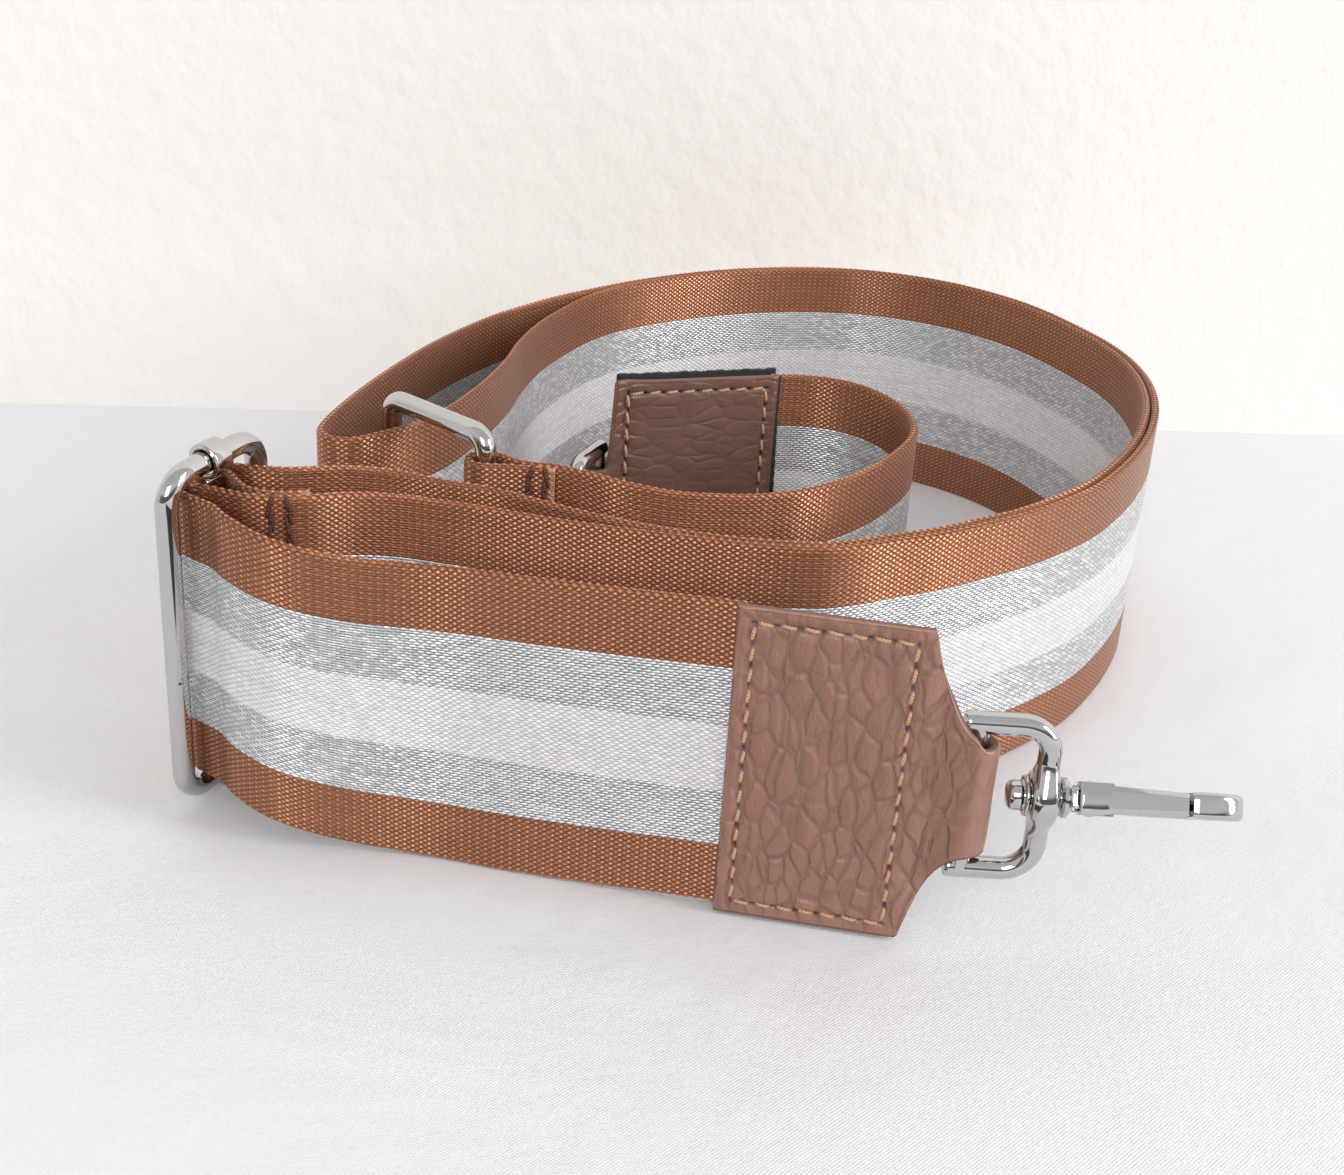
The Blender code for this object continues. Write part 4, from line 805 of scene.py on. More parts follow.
def corner_loop(wide, tall, corners, steps=10, span=0.0008):
    """A rectangle with round corners in X and Z, as close points, from its lower left round."""
    centres = ((-1, -1, 180), (1, -1, 270), (1, 1, 0), (-1, 1, 90))
    corner_points = []
    for (across, up, start), radius in zip(centres, corners):
        angles = np.radians(start + 90 * np.arange(steps + 1) / steps)
        corner_points.append(np.stack([
            across * (wide / 2 - radius) + radius * np.cos(angles), np.zeros(steps + 1),
            up * (tall / 2 - radius) + radius * np.sin(angles)], axis=1))
    loop = []
    for index, arc in enumerate(corner_points):
        loop.extend(arc)
        ahead = corner_points[(index + 1) % 4][0]
        count = int(np.linalg.norm(ahead - arc[-1]) / span)
        loop.extend(arc[-1] + (ahead - arc[-1]) * k / count for k in range(1, count))
    return np.array(loop)


def frame_at(point, along, up=UP):
    """A frame whose X runs along the given direction and whose Z is as near up as it can be."""
    side = up.cross(along).normalized()
    top = along.cross(side).normalized()
    return Matrix.Translation(point) @ Matrix((along, side, top)).transposed().to_4x4()


def tab_frame(letter):
    """The frame of one end tab: X along the tab from its free edge, Z up, middle height."""
    tab = TABS[letter]
    return frame_at(tab.start + UP * (TAB_LIFT + TAB_MIDDLE) - MIDDLE, tab.along)


def slider_frame():
    """The slider's leaning frame: X across its wire loop, Z up along its bars."""
    tall = SLIDER_INSIDE + 2 * SLIDER_WIRE
    low = SLIDER_FLOOR + BAR_THICK + BAR_SLACK + SLIDER_WIRE
    middle = SLIDER_CENTRE + UP * (low + tall / 2) - MIDDLE
    turn = Matrix.Rotation(LEAN, 4, UP.cross(LEAN_WAY))
    foot = Vector((middle.x, middle.y, 0.0))
    lean = Matrix.Translation(foot) @ turn @ Matrix.Translation(-foot)
    return lean @ frame_at(middle, SLIDER_TURN), tall


def flat_strip(name, line, side_way, half, thick, edge=0.0003):
    """A metal strip along close points: half wide on each side_way, with soft edges."""
    line = np.asarray(line, float)
    side_way = np.array(side_way, float)
    ahead = np.gradient(line, axis=0)
    out = np.cross(ahead, side_way)
    out /= np.linalg.norm(out, axis=1)[:, None]
    turn = np.radians((0, 30, 60, 90))
    corner = np.stack([half - edge + edge * np.cos(turn), thick / 2 - edge + edge * np.sin(turn)], axis=1)
    flip = corner[::-1] * (-1, 1)
    section = np.concatenate([corner, flip, -corner, -flip])
    rings = (line[:, None] + side_way[None, None] * section[None, :, :1]
             + out[:, None] * section[None, :, 1:])
    return skin(name, rings)


def stitch_run(name, places, ways, normals, long, radius, slant, sink):
    """Separate stitches: each one bows up out of its two holes, and slants a little."""
    verts, faces, uvs = [], [], []
    bow = np.linspace(-1.0, 1.0, 9)
    sides = 8
    angle = 2 * pi * np.arange(sides) / sides
    for place, way, normal in zip(places, ways, normals):
        cross = np.cross(normal, way)
        lean = way * cos(slant) + cross * sin(slant)
        edge = np.cross(normal, lean)
        height = radius * 0.55 - sink * np.abs(bow) ** 3.5
        line = place + np.outer(bow * long / 2, lean) + np.outer(height, normal)
        size = radius * (1.0 - 0.35 * np.abs(bow) ** 4)
        ring = (line[:, None] + size[:, None, None] * (
            edge[None, None] * np.cos(angle)[None, :, None]
            + normal[None, None] * 0.8 * np.sin(angle)[None, :, None]))
        base = len(verts)
        verts.extend(ring.reshape(-1, 3).tolist())
        for i in range(len(bow) - 1):
            for j in range(sides):
                k = (j + 1) % sides
                faces.append([base + i * sides + j, base + i * sides + k,
                              base + (i + 1) * sides + k, base + (i + 1) * sides + j])
                turn = (j / sides, (j + 1) / sides)
                gone = ((bow[i] + 1) * long / 2, (bow[i + 1] + 1) * long / 2)
                uvs.extend([(gone[0], turn[0]), (gone[0], turn[1]),
                            (gone[1], turn[1]), (gone[1], turn[0])])
        for ends in (list(range(sides))[::-1], [(len(bow) - 1) * sides + j for j in range(sides)]):
            faces.append([base + j for j in ends])
            uvs.extend([(0.0, 0.0)] * sides)
    mesh = bpy.data.meshes.new(name)
    mesh.from_pydata(verts, [], faces)
    layer = mesh.uv_layers.new(name="weave")
    layer.data.foreach_set("uv", np.array(uvs, dtype=np.float32).ravel())
    mesh.shade_smooth()
    fix = bmesh.new()
    fix.from_mesh(mesh)
    bmesh.ops.recalc_face_normals(fix, faces=fix.faces)
    fix.to_mesh(mesh)
    fix.free()
    return mesh


def tab_half(along, square, taper):
    """How far the leather reaches down and up from its middle: square over the webbing, then a
    hollow curve to the neck."""
    share = np.clip((along - square) / (taper - square), 0.0, 1.0)
    open_share = (1 - share) ** 2.6
    return (NECK_LOW + (LEATHER_TALL / 2 - NECK_LOW) * open_share,
            NECK_HIGH + (LEATHER_TALL / 2 - NECK_HIGH) * open_share)


def stitch_places(letter, sizes):
    """Middles and directions of one tab's stitches, in its height and length."""
    tall = LEATHER_TALL - 2 * STITCH_INSET
    left, right = STITCH_INSET, STITCH_INSET + STITCH_LONG + TABS[letter].square - TAB_SQUARE
    corners = [(left, -tall / 2), (right, -tall / 2), (right, tall / 2), (left, tall / 2)]
    for (x0, z0), (x1, z1) in zip(corners, corners[1:] + corners[:1]):
        span = Vector((x1 - x0, 0.0, z1 - z0))
        count = round(span.length / sizes.stitch_pitch)
        for k in range(count):
            share = (k + 0.5) / count
            yield Vector((x0 + span.x * share, 0.0, z0 + span.z * share)), span.normalized()


def folded_line(sizes):
    """The leather's middle line seen from above, from the free edge round the hook's bar to the
    end of its inner tongue: points, each one's distance along it and the way it faces."""
    over = sizes.web_thick / 2 + GAP + LEATHER / 2
    fold = EYE_WIRE + GAP + LEATHER / 2
    # Behind the bar the two layers are pressed together.
    line = [(0.0, over), (WEB_INSIDE, over), (TAB_SQUARE - 0.001, over),
            (TAB_SQUARE + 0.0006, over * 0.86), (TAB_SQUARE + 0.0023, LEATHER * 0.62)]
    angles = radians(114.0) - radians(228.0) * np.arange(17) / 16
    line += [(BAR_REACH + fold * cos(a), fold * sin(a)) for a in angles]
    line += [(TAB_SQUARE + 0.0024, -LEATHER * 0.60), (TAB_SQUARE + GAP, -GAP),
             (BACKING_LONG - LEATHER, 0.0), (WEB_INSIDE + 0.001, 0.0)]
    flat = np.array([(x, 0.0, y) for x, y in line])
    points, gone = even_line(flat, 0.00024)
    points = ease_joints(points, [flat[k] for k in (2, 3, 4, 5, 21, 22, 23)], 0.0010, 30)
    ahead = np.gradient(points, axis=0)
    ahead /= np.linalg.norm(ahead, axis=1)[:, None]
    return points, gone, np.stack([-ahead[:, 2], ahead[:, 0]], axis=1)


def hide_relief(letter, sizes, s, t, rim):
    """How far the hide's front stands out at places s along and t up the tab, which lie rim from
    its edge, and how deep each place lies in a stitch hole."""
    long = STITCH_LONG + TABS[letter].square - TAB_SQUARE
    box = np.maximum(np.abs(s - STITCH_INSET - long / 2) - long / 2,
                     np.abs(t) - (LEATHER_TALL / 2 - STITCH_INSET))
    # The seam pulls the hide in, most of all at the holes between the stitches.
    sewn = np.exp(-(box / SEWN_REACH) ** 2)
    hole = np.zeros(s.shape)
    for spot, way in stitch_places(letter, sizes):
        tip = spot + way * sizes.stitch_pitch * 0.5
        ahead = (s - tip.x) * way.x + (t - tip.z) * way.z
        aside = (s - tip.x) * way.z - (t - tip.z) * way.x
        hole = np.maximum(hole, np.exp(-(ahead / HOLE_LONG) ** 2 - (aside / HOLE_WIDE) ** 2))
    swell = np.sin(s * 610 + 1.3 * np.sin(t * 330)) * np.sin(t * 470 + 0.9 * np.sin(s * 520))
    face = swell * SWELL_TALL - sewn * SEWN_DEEP - hole * HOLE_DEEP
    # The hide swells inside the seam and at the free edge, and is worn round at its rim.
    face += np.exp(-((box + RIDGE_INSIDE) / RIDGE_REACH) ** 2) * RIDGE_TALL
    face += np.exp(-((s - FREE_INSIDE) / FREE_REACH) ** 2) * FREE_TALL
    face -= np.exp(-rim / RIM_REACH) * RIM_DEEP
    return face, hole


def leather_tab(letter, sizes):
    """One tab of leather: front panel, taper, neck, fold round the hook's bar and inner tongue."""
    tab = TABS[letter]
    points, gone, normal = folded_line(sizes)
    front_part = gone < tab.taper + 0.001
    low, high = tab_half(points[:, 0], tab.square, tab.taper)
    low, high = np.where(front_part, low, NECK_LOW), np.where(front_part, high, NECK_HIGH)
    # The front layer's top stands up before the eye's upper leg.
    high += (tab.neck_lift * front_part
             * ramp_share(points[:, 0], tab.square + 0.0010, tab.square + 0.0040)
             * ramp_share(points[:, 0], BAR_REACH + 0.0014, BAR_REACH - 0.0004))
    half, centre = (low + high) / 2, (high - low) / 2
    count = 220
    edge = LEATHER * 0.42
    spread = np.linspace(-1.0, 1.0, count)
    round_off = np.radians(np.linspace(-90.0, 90.0, 7)[1:-1])
    under = np.linspace(1.0, -1.0, 12)
    across = np.concatenate([
        (half - edge)[:, None] * spread[None, :],
        (half - edge)[:, None] + edge * np.cos(round_off)[None, :],
        (half - edge)[:, None] * under[None, :],
        -(half - edge)[:, None] - edge * np.cos(round_off)[None, :]], axis=1) + centre[:, None]
    depth = np.concatenate([np.full(count, 0.5), -0.5 * np.sin(round_off),
                            np.full(12, -0.5), 0.5 * np.sin(round_off)])[None, :] * LEATHER
    depth = np.repeat(depth, len(points), axis=0)
    s, t = np.broadcast_arrays(gone[:, None], across[:, :count])
    rim = np.minimum(s, half[:, None] - np.abs(t - centre[:, None]))
    face, hole = hide_relief(letter, sizes, s, t, rim)
    depth[:, :count] += face
    stretched = np.clip((s - 0.0335) / 0.0020, 0.0, 1.0) * 0.8
    calm = np.ones(depth.shape)
    calm[:, :count] = np.maximum(stretched, np.exp(-((rim - 0.0006) / 0.0009) ** 2) * 0.6)
    if letter == "b":
        calm = np.maximum(calm, SECOND_CALM)
    holes = np.zeros(depth.shape)
    holes[:, :count] = hole
    base = np.stack([points[:, 0], tab.front * points[:, 2], np.zeros(len(points))], axis=1)
    out = np.stack([normal[:, 0], tab.front * normal[:, 1], np.zeros(len(points))], axis=1)
    rings = base[:, None] + out[:, None] * depth[..., None]
    rings[..., 2] += across
    uv = np.stack(np.broadcast_arrays(gone[:, None], across), axis=-1)
    if letter == "b":
        # This tab was cut across the hide, so its grain lies the other way.
        uv = uv[..., ::-1] + 0.1
    # Tab b's leather is drawn darker all over: painted shade.
    mesh = skin("tab_leather_%s" % letter, rings, uv=uv, values={
        "flat": calm, "hole": holes, "shade": SECOND_PAINTED_SHADE if letter == "b" else 1.0})
    cut = np.zeros(len(mesh.polygons), dtype=np.int32)
    around = rings.shape[1]
    columns = np.arange((len(points) - 1) * around) % around
    cut[:len(columns)] = columns >= count + 1
    cut[len(columns):] = 1
    mesh.transform(tab_frame(letter))
    return mesh, cut


def felt_backing(letter, sizes):
    """The black layer behind one tab: a soft sheet whose hand-cut outline wanders a little."""
    tab = TABS[letter]
    middle = -tab.front * (sizes.web_thick / 2 + GAP + BACKING / 2)
    share = np.linspace(0.0, 1.0, 90)
    edge = BACKING * 0.3
    turn = np.radians(np.linspace(-90.0, 90.0, 5)[1:-1])
    spread = np.linspace(-1.0, 1.0, 60)
    wander = 0.00012 * np.sin(share * 24) * np.sin(share * 57)
    bottom = -(BACKING_TALL / 2 - edge) + wander
    top = LEATHER_TALL / 2 + tab.felt_above - edge + wander
    flat = bottom[:, None] + (top - bottom)[:, None] * (spread[None, :] + 1) / 2
    across = np.concatenate([flat, top[:, None] + edge * np.cos(turn)[None, :], flat[:, ::-1],
                             bottom[:, None] - edge * np.cos(turn)[None, :]], axis=1)
    # Above and below the neck the felt reaches to the square part's end.
    clear = ramp_share(np.abs(across), NECK_LOW + 0.0008, NECK_LOW + 0.0024)
    long = BACKING_LONG + (tab.square - 0.0008 - BACKING_LONG) * clear
    # The felt is cut askew, so it stands farther out beside the free edge's lower half.
    proud = BACKING_PROUD + (0.0013 if letter == "b" else 0.0005) * ramp_share(across, 0.020, -0.020)
    along = -proud + share[:, None] * (long + proud)
    depth = np.concatenate([np.full(60, 0.5), -0.5 * np.sin(turn), np.full(60, -0.5),
                            0.5 * np.sin(turn)]) * BACKING
    pull = np.ones(len(share))
    pull[0] = pull[-1] = 0.6
    rings = np.stack([along, middle + depth[None, :] * pull[:, None], across], axis=-1)
    mesh = skin("tab_backing_%s" % letter, rings)
    if letter == "b":
        # Here the felt also laps round to the front, and shows as a black line beside the leather.
        rise = np.linspace(0.0003 - LEATHER_TALL / 2, LEATHER_TALL / 2 - 0.0004, 80)
        reach = 0.0010 + 0.0010 * ramp_share(rise, 0.020, -0.020) + 0.00008 * np.sin(rise * 2900)
        lap, half = tab.front * (sizes.web_thick / 2 + GAP / 2), 0.00012
        section = ((-1.0, 0.0), (-0.85, half), (4.0, half), (4.0, -half), (-0.85, -half))
        strip = np.array([[(far * wide, lap + deep, tall) for far, deep in section]
                          for wide, tall in zip(reach, rise)])
        both = bmesh.new()
        both.from_mesh(mesh)
        both.from_mesh(skin("felt_lap", strip))
        both.to_mesh(mesh)
        both.free()
    mesh.transform(tab_frame(letter))
    return mesh


def tab_stitches(letter, sizes):
    """The row of separate tan stitches round one tab."""
    front = TABS[letter].front
    height = Vector((0.0, front * (sizes.web_thick / 2 + GAP + LEATHER - 0.00016), 0.0))
    places, ways = zip(*((np.array(spot + height), np.array(way))
                         for spot, way in stitch_places(letter, sizes)))
    normals = [np.array((0.0, front, 0.0))] * len(places)
    mesh = stitch_run("tab_stitching_%s" % letter, places, ways, normals, sizes.stitch_pitch * 0.76,
                      sizes.thread_wide / 2, radians(8.0) * front, 0.0005)
    mesh.transform(tab_frame(letter))
    return mesh


class StrapOperator(bpy.types.Operator):
    """Gives the strap's operators the sizes, the colours and the shared materials."""
    bl_options = {"REGISTER", "UNDO"}

    def settings(self, context):
        return context.scene.bag_strap_sizes, context.scene.bag_strap_colours

    def metal(self, context):
        return get_finish("polished_nickel", nickel_plate, context.scene.bag_strap_colours)


class BAGSTRAP_OT_stage(StrapOperator):
    """Set the camera, the white cloth, the wall and the soft light."""
    bl_idname = "bag_strap.stage"
    bl_label = "Stage"

    def execute(self, context):
        colours = context.scene.bag_strap_colours
        scene = context.scene
        data = bpy.data.cameras.new("camera")
        data.sensor_width = SENSOR
        data.lens = FOCAL / PHOTO_WIDE * SENSOR
        data.clip_start = 0.01
        camera = bpy.data.objects.new("camera", data)
        scene.collection.objects.link(camera)
        pitch, roll = CAMERA_PITCH, CAMERA_ROLL
        ahead = Vector((0.0, cos(pitch), -sin(pitch)))
        top = Vector((0.0, sin(pitch), cos(pitch)))
        right = Vector((cos(roll), 0.0, 0.0)) + top * sin(roll)
        up = top * cos(roll) - Vector((sin(roll), 0.0, 0.0))
        turn = Matrix((right, up, -ahead)).transposed().to_4x4()
        camera.matrix_world = Matrix.Translation(CAMERA_SPOT) @ turn
        scene.camera = camera
        self.floor(colours)
        self.wall(scene, colours, camera)
        self.light(scene)
        scene.view_settings.view_transform = "Standard"
        return {"FINISHED"}

    def floor(self, colours):
        """A smooth cotton sheet with a few soft folds, fine enough that only its weave shows."""
        material, tree, shader = new_material("cotton_sheet")
        space = add(tree, "TexCoord")
        place = add(tree, "SeparateXYZ", space.outputs[3])
        # Threads are drawn 0.6 mm apart, coarser than a real sheet's, so that they show.
        threads = [add(tree, "Math:SINE", add(tree, "Math:MULTIPLY", way, 2 * pi / 0.0006))
                   for way in place.outputs[:2]]
        weave = add(tree, "Math:MULTIPLY", *threads)
        lint = add(tree, "TexNoise", {"Vector": space.outputs[3], "Scale": 900.0, "Detail": 3.0})
        folds = add(tree, "TexNoise", {"Vector": space.outputs[3], "Scale": 14.0, "Detail": 4.0,
                                       "Distortion": 0.6})
        soft = add(tree, "Math:MULTIPLY_ADD", lint, 0.050, folds)
        relief = add(tree, "Math:MULTIPLY_ADD", weave, 0.014, soft)
        bump = add(tree, "Bump", {"Height": relief, "Strength": 0.6, "Distance": 0.005})
        # Painted reflection: in front of the strap the sheet turns near black for glossy rays only, so the
        # metal mirrors a dark patch there.
        front = add(tree, "MapRange", place.outputs[1], -0.104, -0.114, interpolation_type="SMOOTHSTEP")
        middle = add(tree, "Math:ABSOLUTE", add(tree, "Math:ADD", place.outputs[0], 0.020))
        near = add(tree, "MapRange", middle, 0.045, 0.034, interpolation_type="SMOOTHSTEP")
        painted_reflection = add(tree, "Math:MULTIPLY", add(tree, "Math:MULTIPLY", front, near),
                       add(tree, "LightPath").outputs[3])
        tone = mix(tree, painted_reflection, (*colours.cloth, 1.0), (0.03, 0.03, 0.04, 1.0))
        shade(tree, shader, Base_Color=tone, Roughness=0.9, Normal=bump)
        bpy.ops.mesh.primitive_grid_add(x_subdivisions=2, y_subdivisions=2, size=FLOOR_WIDE)
        sheet = bpy.context.object
        sheet.name = "floor"
        sheet.data.materials.append(material)

    def wall(self, scene, colours, camera):
        """A painted wall that stands behind the strap and can be seen only from its front."""
        material, tree, shader = new_material("painted_wall")
        space = add(tree, "TexCoord")
        lumps = add(tree, "TexNoise", {"Vector": space.outputs[3], "Scale": 170.0, "Detail": 3.0})
        bump = add(tree, "Bump", {"Height": lumps, "Strength": 0.5, "Distance": 0.0012})
        shade(tree, shader, Base_Color=(*colours.wall, 1.0), Roughness=0.8, Normal=bump)
        out = tree.nodes["Material Output"]
        face = add(tree, "NewGeometry")
        clear = add(tree, "BsdfTransparent")
        one_way = add(tree, "MixShader", {0: face.outputs[6], 1: shader, 2: clear})
        tree.links.new(one_way.outputs[0], out.inputs[0])
        spots = []
        for across, down in WALL_FOOT:
            ray = camera.matrix_world.to_3x3() @ Vector((
                (across - PHOTO_WIDE / 2) / FOCAL, (PHOTO_TALL / 2 - down) / FOCAL, -1.0))
            eye = camera.matrix_world.translation
            spots.append(eye - ray * eye.z / ray.z)
        along = (spots[1] - spots[0]).normalized()
        ends = [spots[0] - along * WALL_PAST, spots[1] + along * WALL_PAST]
        corners = [*ends, ends[1] + UP * WALL_TALL, ends[0] + UP * WALL_TALL]
        mesh = bpy.data.meshes.new("wall")
        mesh.from_pydata([tuple(p) for p in corners], [], [(0, 1, 2, 3)])
        mesh.materials.append(material)
        wall = bpy.data.objects.new("wall", mesh)
        scene.collection.objects.link(wall)

    def light(self, scene):
        """Daylight from a tall window at the right, in a white room that is darker at the front,
        low down, where the metal mirrors it."""
        world = bpy.data.worlds.new("room")
        scene.world = world
        world.use_nodes = True
        tree = world.node_tree
        ground = tree.nodes["Background"]
        space = add(tree, "TexCoord")
        place = add(tree, "SeparateXYZ", space.outputs[0])
        front = add(tree, "MapRange", place.outputs[1], -0.30, -0.70, interpolation_type="SMOOTHSTEP")
        low = add(tree, "MapRange", place.outputs[2], 0.40, 0.20, interpolation_type="SMOOTHSTEP")
        dark = add(tree, "Math:MULTIPLY", front, low)
        high = add(tree, "MapRange", place.outputs[2], 0.35, 0.85, interpolation_type="SMOOTHSTEP")
        sky = mix(tree, high, (1.0, 1.0, 1.0, 1.0), (0.80, 0.81, 0.83, 1.0))
        tree.links.new(mix(tree, dark, sky, (0.20, 0.18, 0.17, 1.0)), ground.inputs[0])
        ground.inputs[1].default_value = 0.80
        for name, spot, size, power, tint in (
                ("window", (3.9, -1.15, 1.6), (1.2, 2.4), 107.0, (0.97, 0.985, 1.0)),
                ("bounce", (-0.2, -2.0, 1.1), (1.0, 1.0), 19.0, (1.0, 0.98, 0.955))):
            data = bpy.data.lights.new(name, "AREA")
            data.shape = "RECTANGLE"
            data.size, data.size_y = size
            data.energy = power
            data.color = tint
            lamp = bpy.data.objects.new(name, data)
            scene.collection.objects.link(lamp)
            lamp.location = spot
            way = Vector((0.0, 0.0, 0.03)) - Vector(spot)
            lamp.rotation_euler = way.to_track_quat("-Z", "Y").to_euler()


class BAGSTRAP_OT_webbing(StrapOperator):
    """Weave the two lengths of striped webbing along their routes."""
    bl_idname = "bag_strap.webbing"
    bl_label = "Webbing"

    def execute(self, context):
        sizes, colours = self.settings(context)
        finish = get_finish("woven_nylon_webbing", woven_nylon, sizes, colours)
        line, marks = long_line(sizes)
        mesh, length = weave_band("long_webbing", line, sizes, True, marks)
        piece = put("long_webbing", mesh, finish, "strap", "webbing", "webbing_long")
        mesh, length = weave_band("short_webbing", short_line(), sizes, False)
        piece = put("short_webbing", mesh, finish, "strap", "webbing", "webbing_short")
        return {"FINISHED"}


class BAGSTRAP_OT_loop_stitches(StrapOperator):
    """Sew the webbing's two loops shut with brown thread."""
    bl_idname = "bag_strap.loop_stitches"
    bl_label = "Loop stitches"

    def execute(self, context):
        sizes, colours = self.settings(context)
        finish = get_finish("brown_sewing_thread", twisted_thread, "brown_sewing_thread", colours.seam)
        jobs = (("slider", SEWN_LOOP[-3:-1], SLIDER_CENTRE, 0.4, 1.0),
                ("ring", RING_TAIL[0:2], Vector(), 0.7, -1.0))
        for part, rows, base, share, front in jobs:
            name = "%s_loop_stitches" % part
            points = table_rows(rows, base)
            leans = front > 0
            low = lean_points(points, 0.0, sizes.web_width) if leans else points
            high = (lean_points(points, sizes.web_width, sizes.web_width) if leans
                    else points + np.array(UP) * sizes.web_width)
            foot = low[0] + (low[1] - low[0]) * share
            rise = (high[0] - low[0]) / np.linalg.norm(high[0] - low[0])
            flat = (low[1] - low[0]) / np.linalg.norm(low[1] - low[0])
            side = np.cross(np.array(UP), flat) * -front
            side /= np.linalg.norm(side)
            lift = side * (sizes.web_thick / 2 + 0.0001)
            ways = [rise * cos(turn) + flat * sin(turn) for turn in SEAM_SLANTS] * (SEAM_STITCHES // 2)
            places = [foot + lift + rise * (SEAM_START + SEAM_PITCH * (k // 2)) + flat * (
                SEAM_COLUMN * (1 if k % 2 else -1) + SEAM_STRAY * sin(k * 2.3))
                for k in range(SEAM_STITCHES)]
            mesh = stitch_run(name, places, ways, [side] * SEAM_STITCHES, SEAM_LONG, SEAM_RADIUS, 0.0,
                              0.0003)
            put(name, mesh, finish, "strap", "brown_thread", "%s_loop_stitching" % part)
        return {"FINISHED"}


class BAGSTRAP_OT_tabs(StrapOperator):
    """Make the two leather end tabs with their black backing and tan stitches."""
    bl_idname = "bag_strap.tabs"
    bl_label = "Leather tabs"

    def execute(self, context):
        sizes, colours = self.settings(context)
        hide = get_finish("pebbled_leather", full_grain_leather, sizes, colours)
        raw = get_finish("cut_leather_edge", cut_leather, colours)
        felt = get_finish("bonded_felt", bonded_felt, colours)
        thread = get_finish("tan_sewing_thread", twisted_thread, "tan_sewing_thread", colours.tan)
        for letter in TABS:
            mesh, cut = leather_tab(letter, sizes)
            put("leather_%s" % letter, mesh, [hide, raw], "strap", "leather", "tab_leather_%s" % letter)
            mesh.polygons.foreach_set("material_index", cut)
            put("felt_%s" % letter, felt_backing(letter, sizes), felt, "strap", "backing",
                "tab_backing_%s" % letter)
            put("tan_stitches_%s" % letter, tab_stitches(letter, sizes), thread, "strap", "tan_thread",
                "tab_stitching_%s" % letter)
        return {"FINISHED"}


class BAGSTRAP_OT_slider(StrapOperator):
    """Bend the slider's wire frame and roll its centre bar round it."""
    bl_idname = "bag_strap.slider"
    bl_label = "Slider"

    def execute(self, context):
        place, tall = slider_frame()
        loop = corner_loop(2 * SLIDER_HALF, tall, (SLIDER_CORNER,) * 4, 14, 0.0004)
        # The wire's two ends meet in a fine seam on the left bar.
        seam = np.exp(-((loop[:, 2] + 0.0050) / 0.00016) ** 2) * (loop[:, 0] < -0.005)
        mesh = tube("slider_wire", loop, SLIDER_WIRE * (1 - 0.12 * seam), 28)
        mesh.transform(place)
        put("slider_wire", mesh, self.metal(context), "slider", "nickel", "slider_frame")
        roll = SLIDER_WIRE + BAR_SLACK + BAR_THICK / 2
        angles = -pi / 2 - BAR_ROLL * np.arange(41) / 40
        upper = np.stack([np.zeros(41), roll * np.cos(angles), tall / 2 + roll * np.sin(angles)], axis=1)
        lower = upper[::-1] * (1, 1, -1)
        straight = np.linspace(lower[-1], upper[0], 40)[1:-1]
        strip = np.concatenate([lower, straight, upper])
        mesh = flat_strip("slider_bar", strip, (1.0, 0.0, 0.0), BAR_HALF, BAR_THICK)
        mesh.transform(place)
        put("slider_bar", mesh, self.metal(context), "slider", "nickel", "slider_centre_bar")
        return {"FINISHED"}


class BAGSTRAP_OT_ring(StrapOperator):
    """Bend the rectangular ring that joins the two lengths of webbing."""
    bl_idname = "bag_strap.ring"
    bl_label = "Joining ring"

    def execute(self, context):
        tall = RING_INSIDE + 2 * RING_WIRE
        across = RING_FAR - RING_NEAR
        lift = UP * (RING_FLOOR + RING_WIRE + tall / 2)
        place = frame_at(RING_NEAR + lift - MIDDLE, across.normalized())
        loop = corner_loop(across.length, tall, (RING_CORNER,) * 4, 12, 0.0005)
        loop[:, 0] += across.length / 2
        mesh = tube("joining_ring", loop, RING_WIRE, 28)
        mesh.transform(place)
        put("joining_ring", mesh, self.metal(context), "ring", "nickel", "connecting_ring")
        return {"FINISHED"}


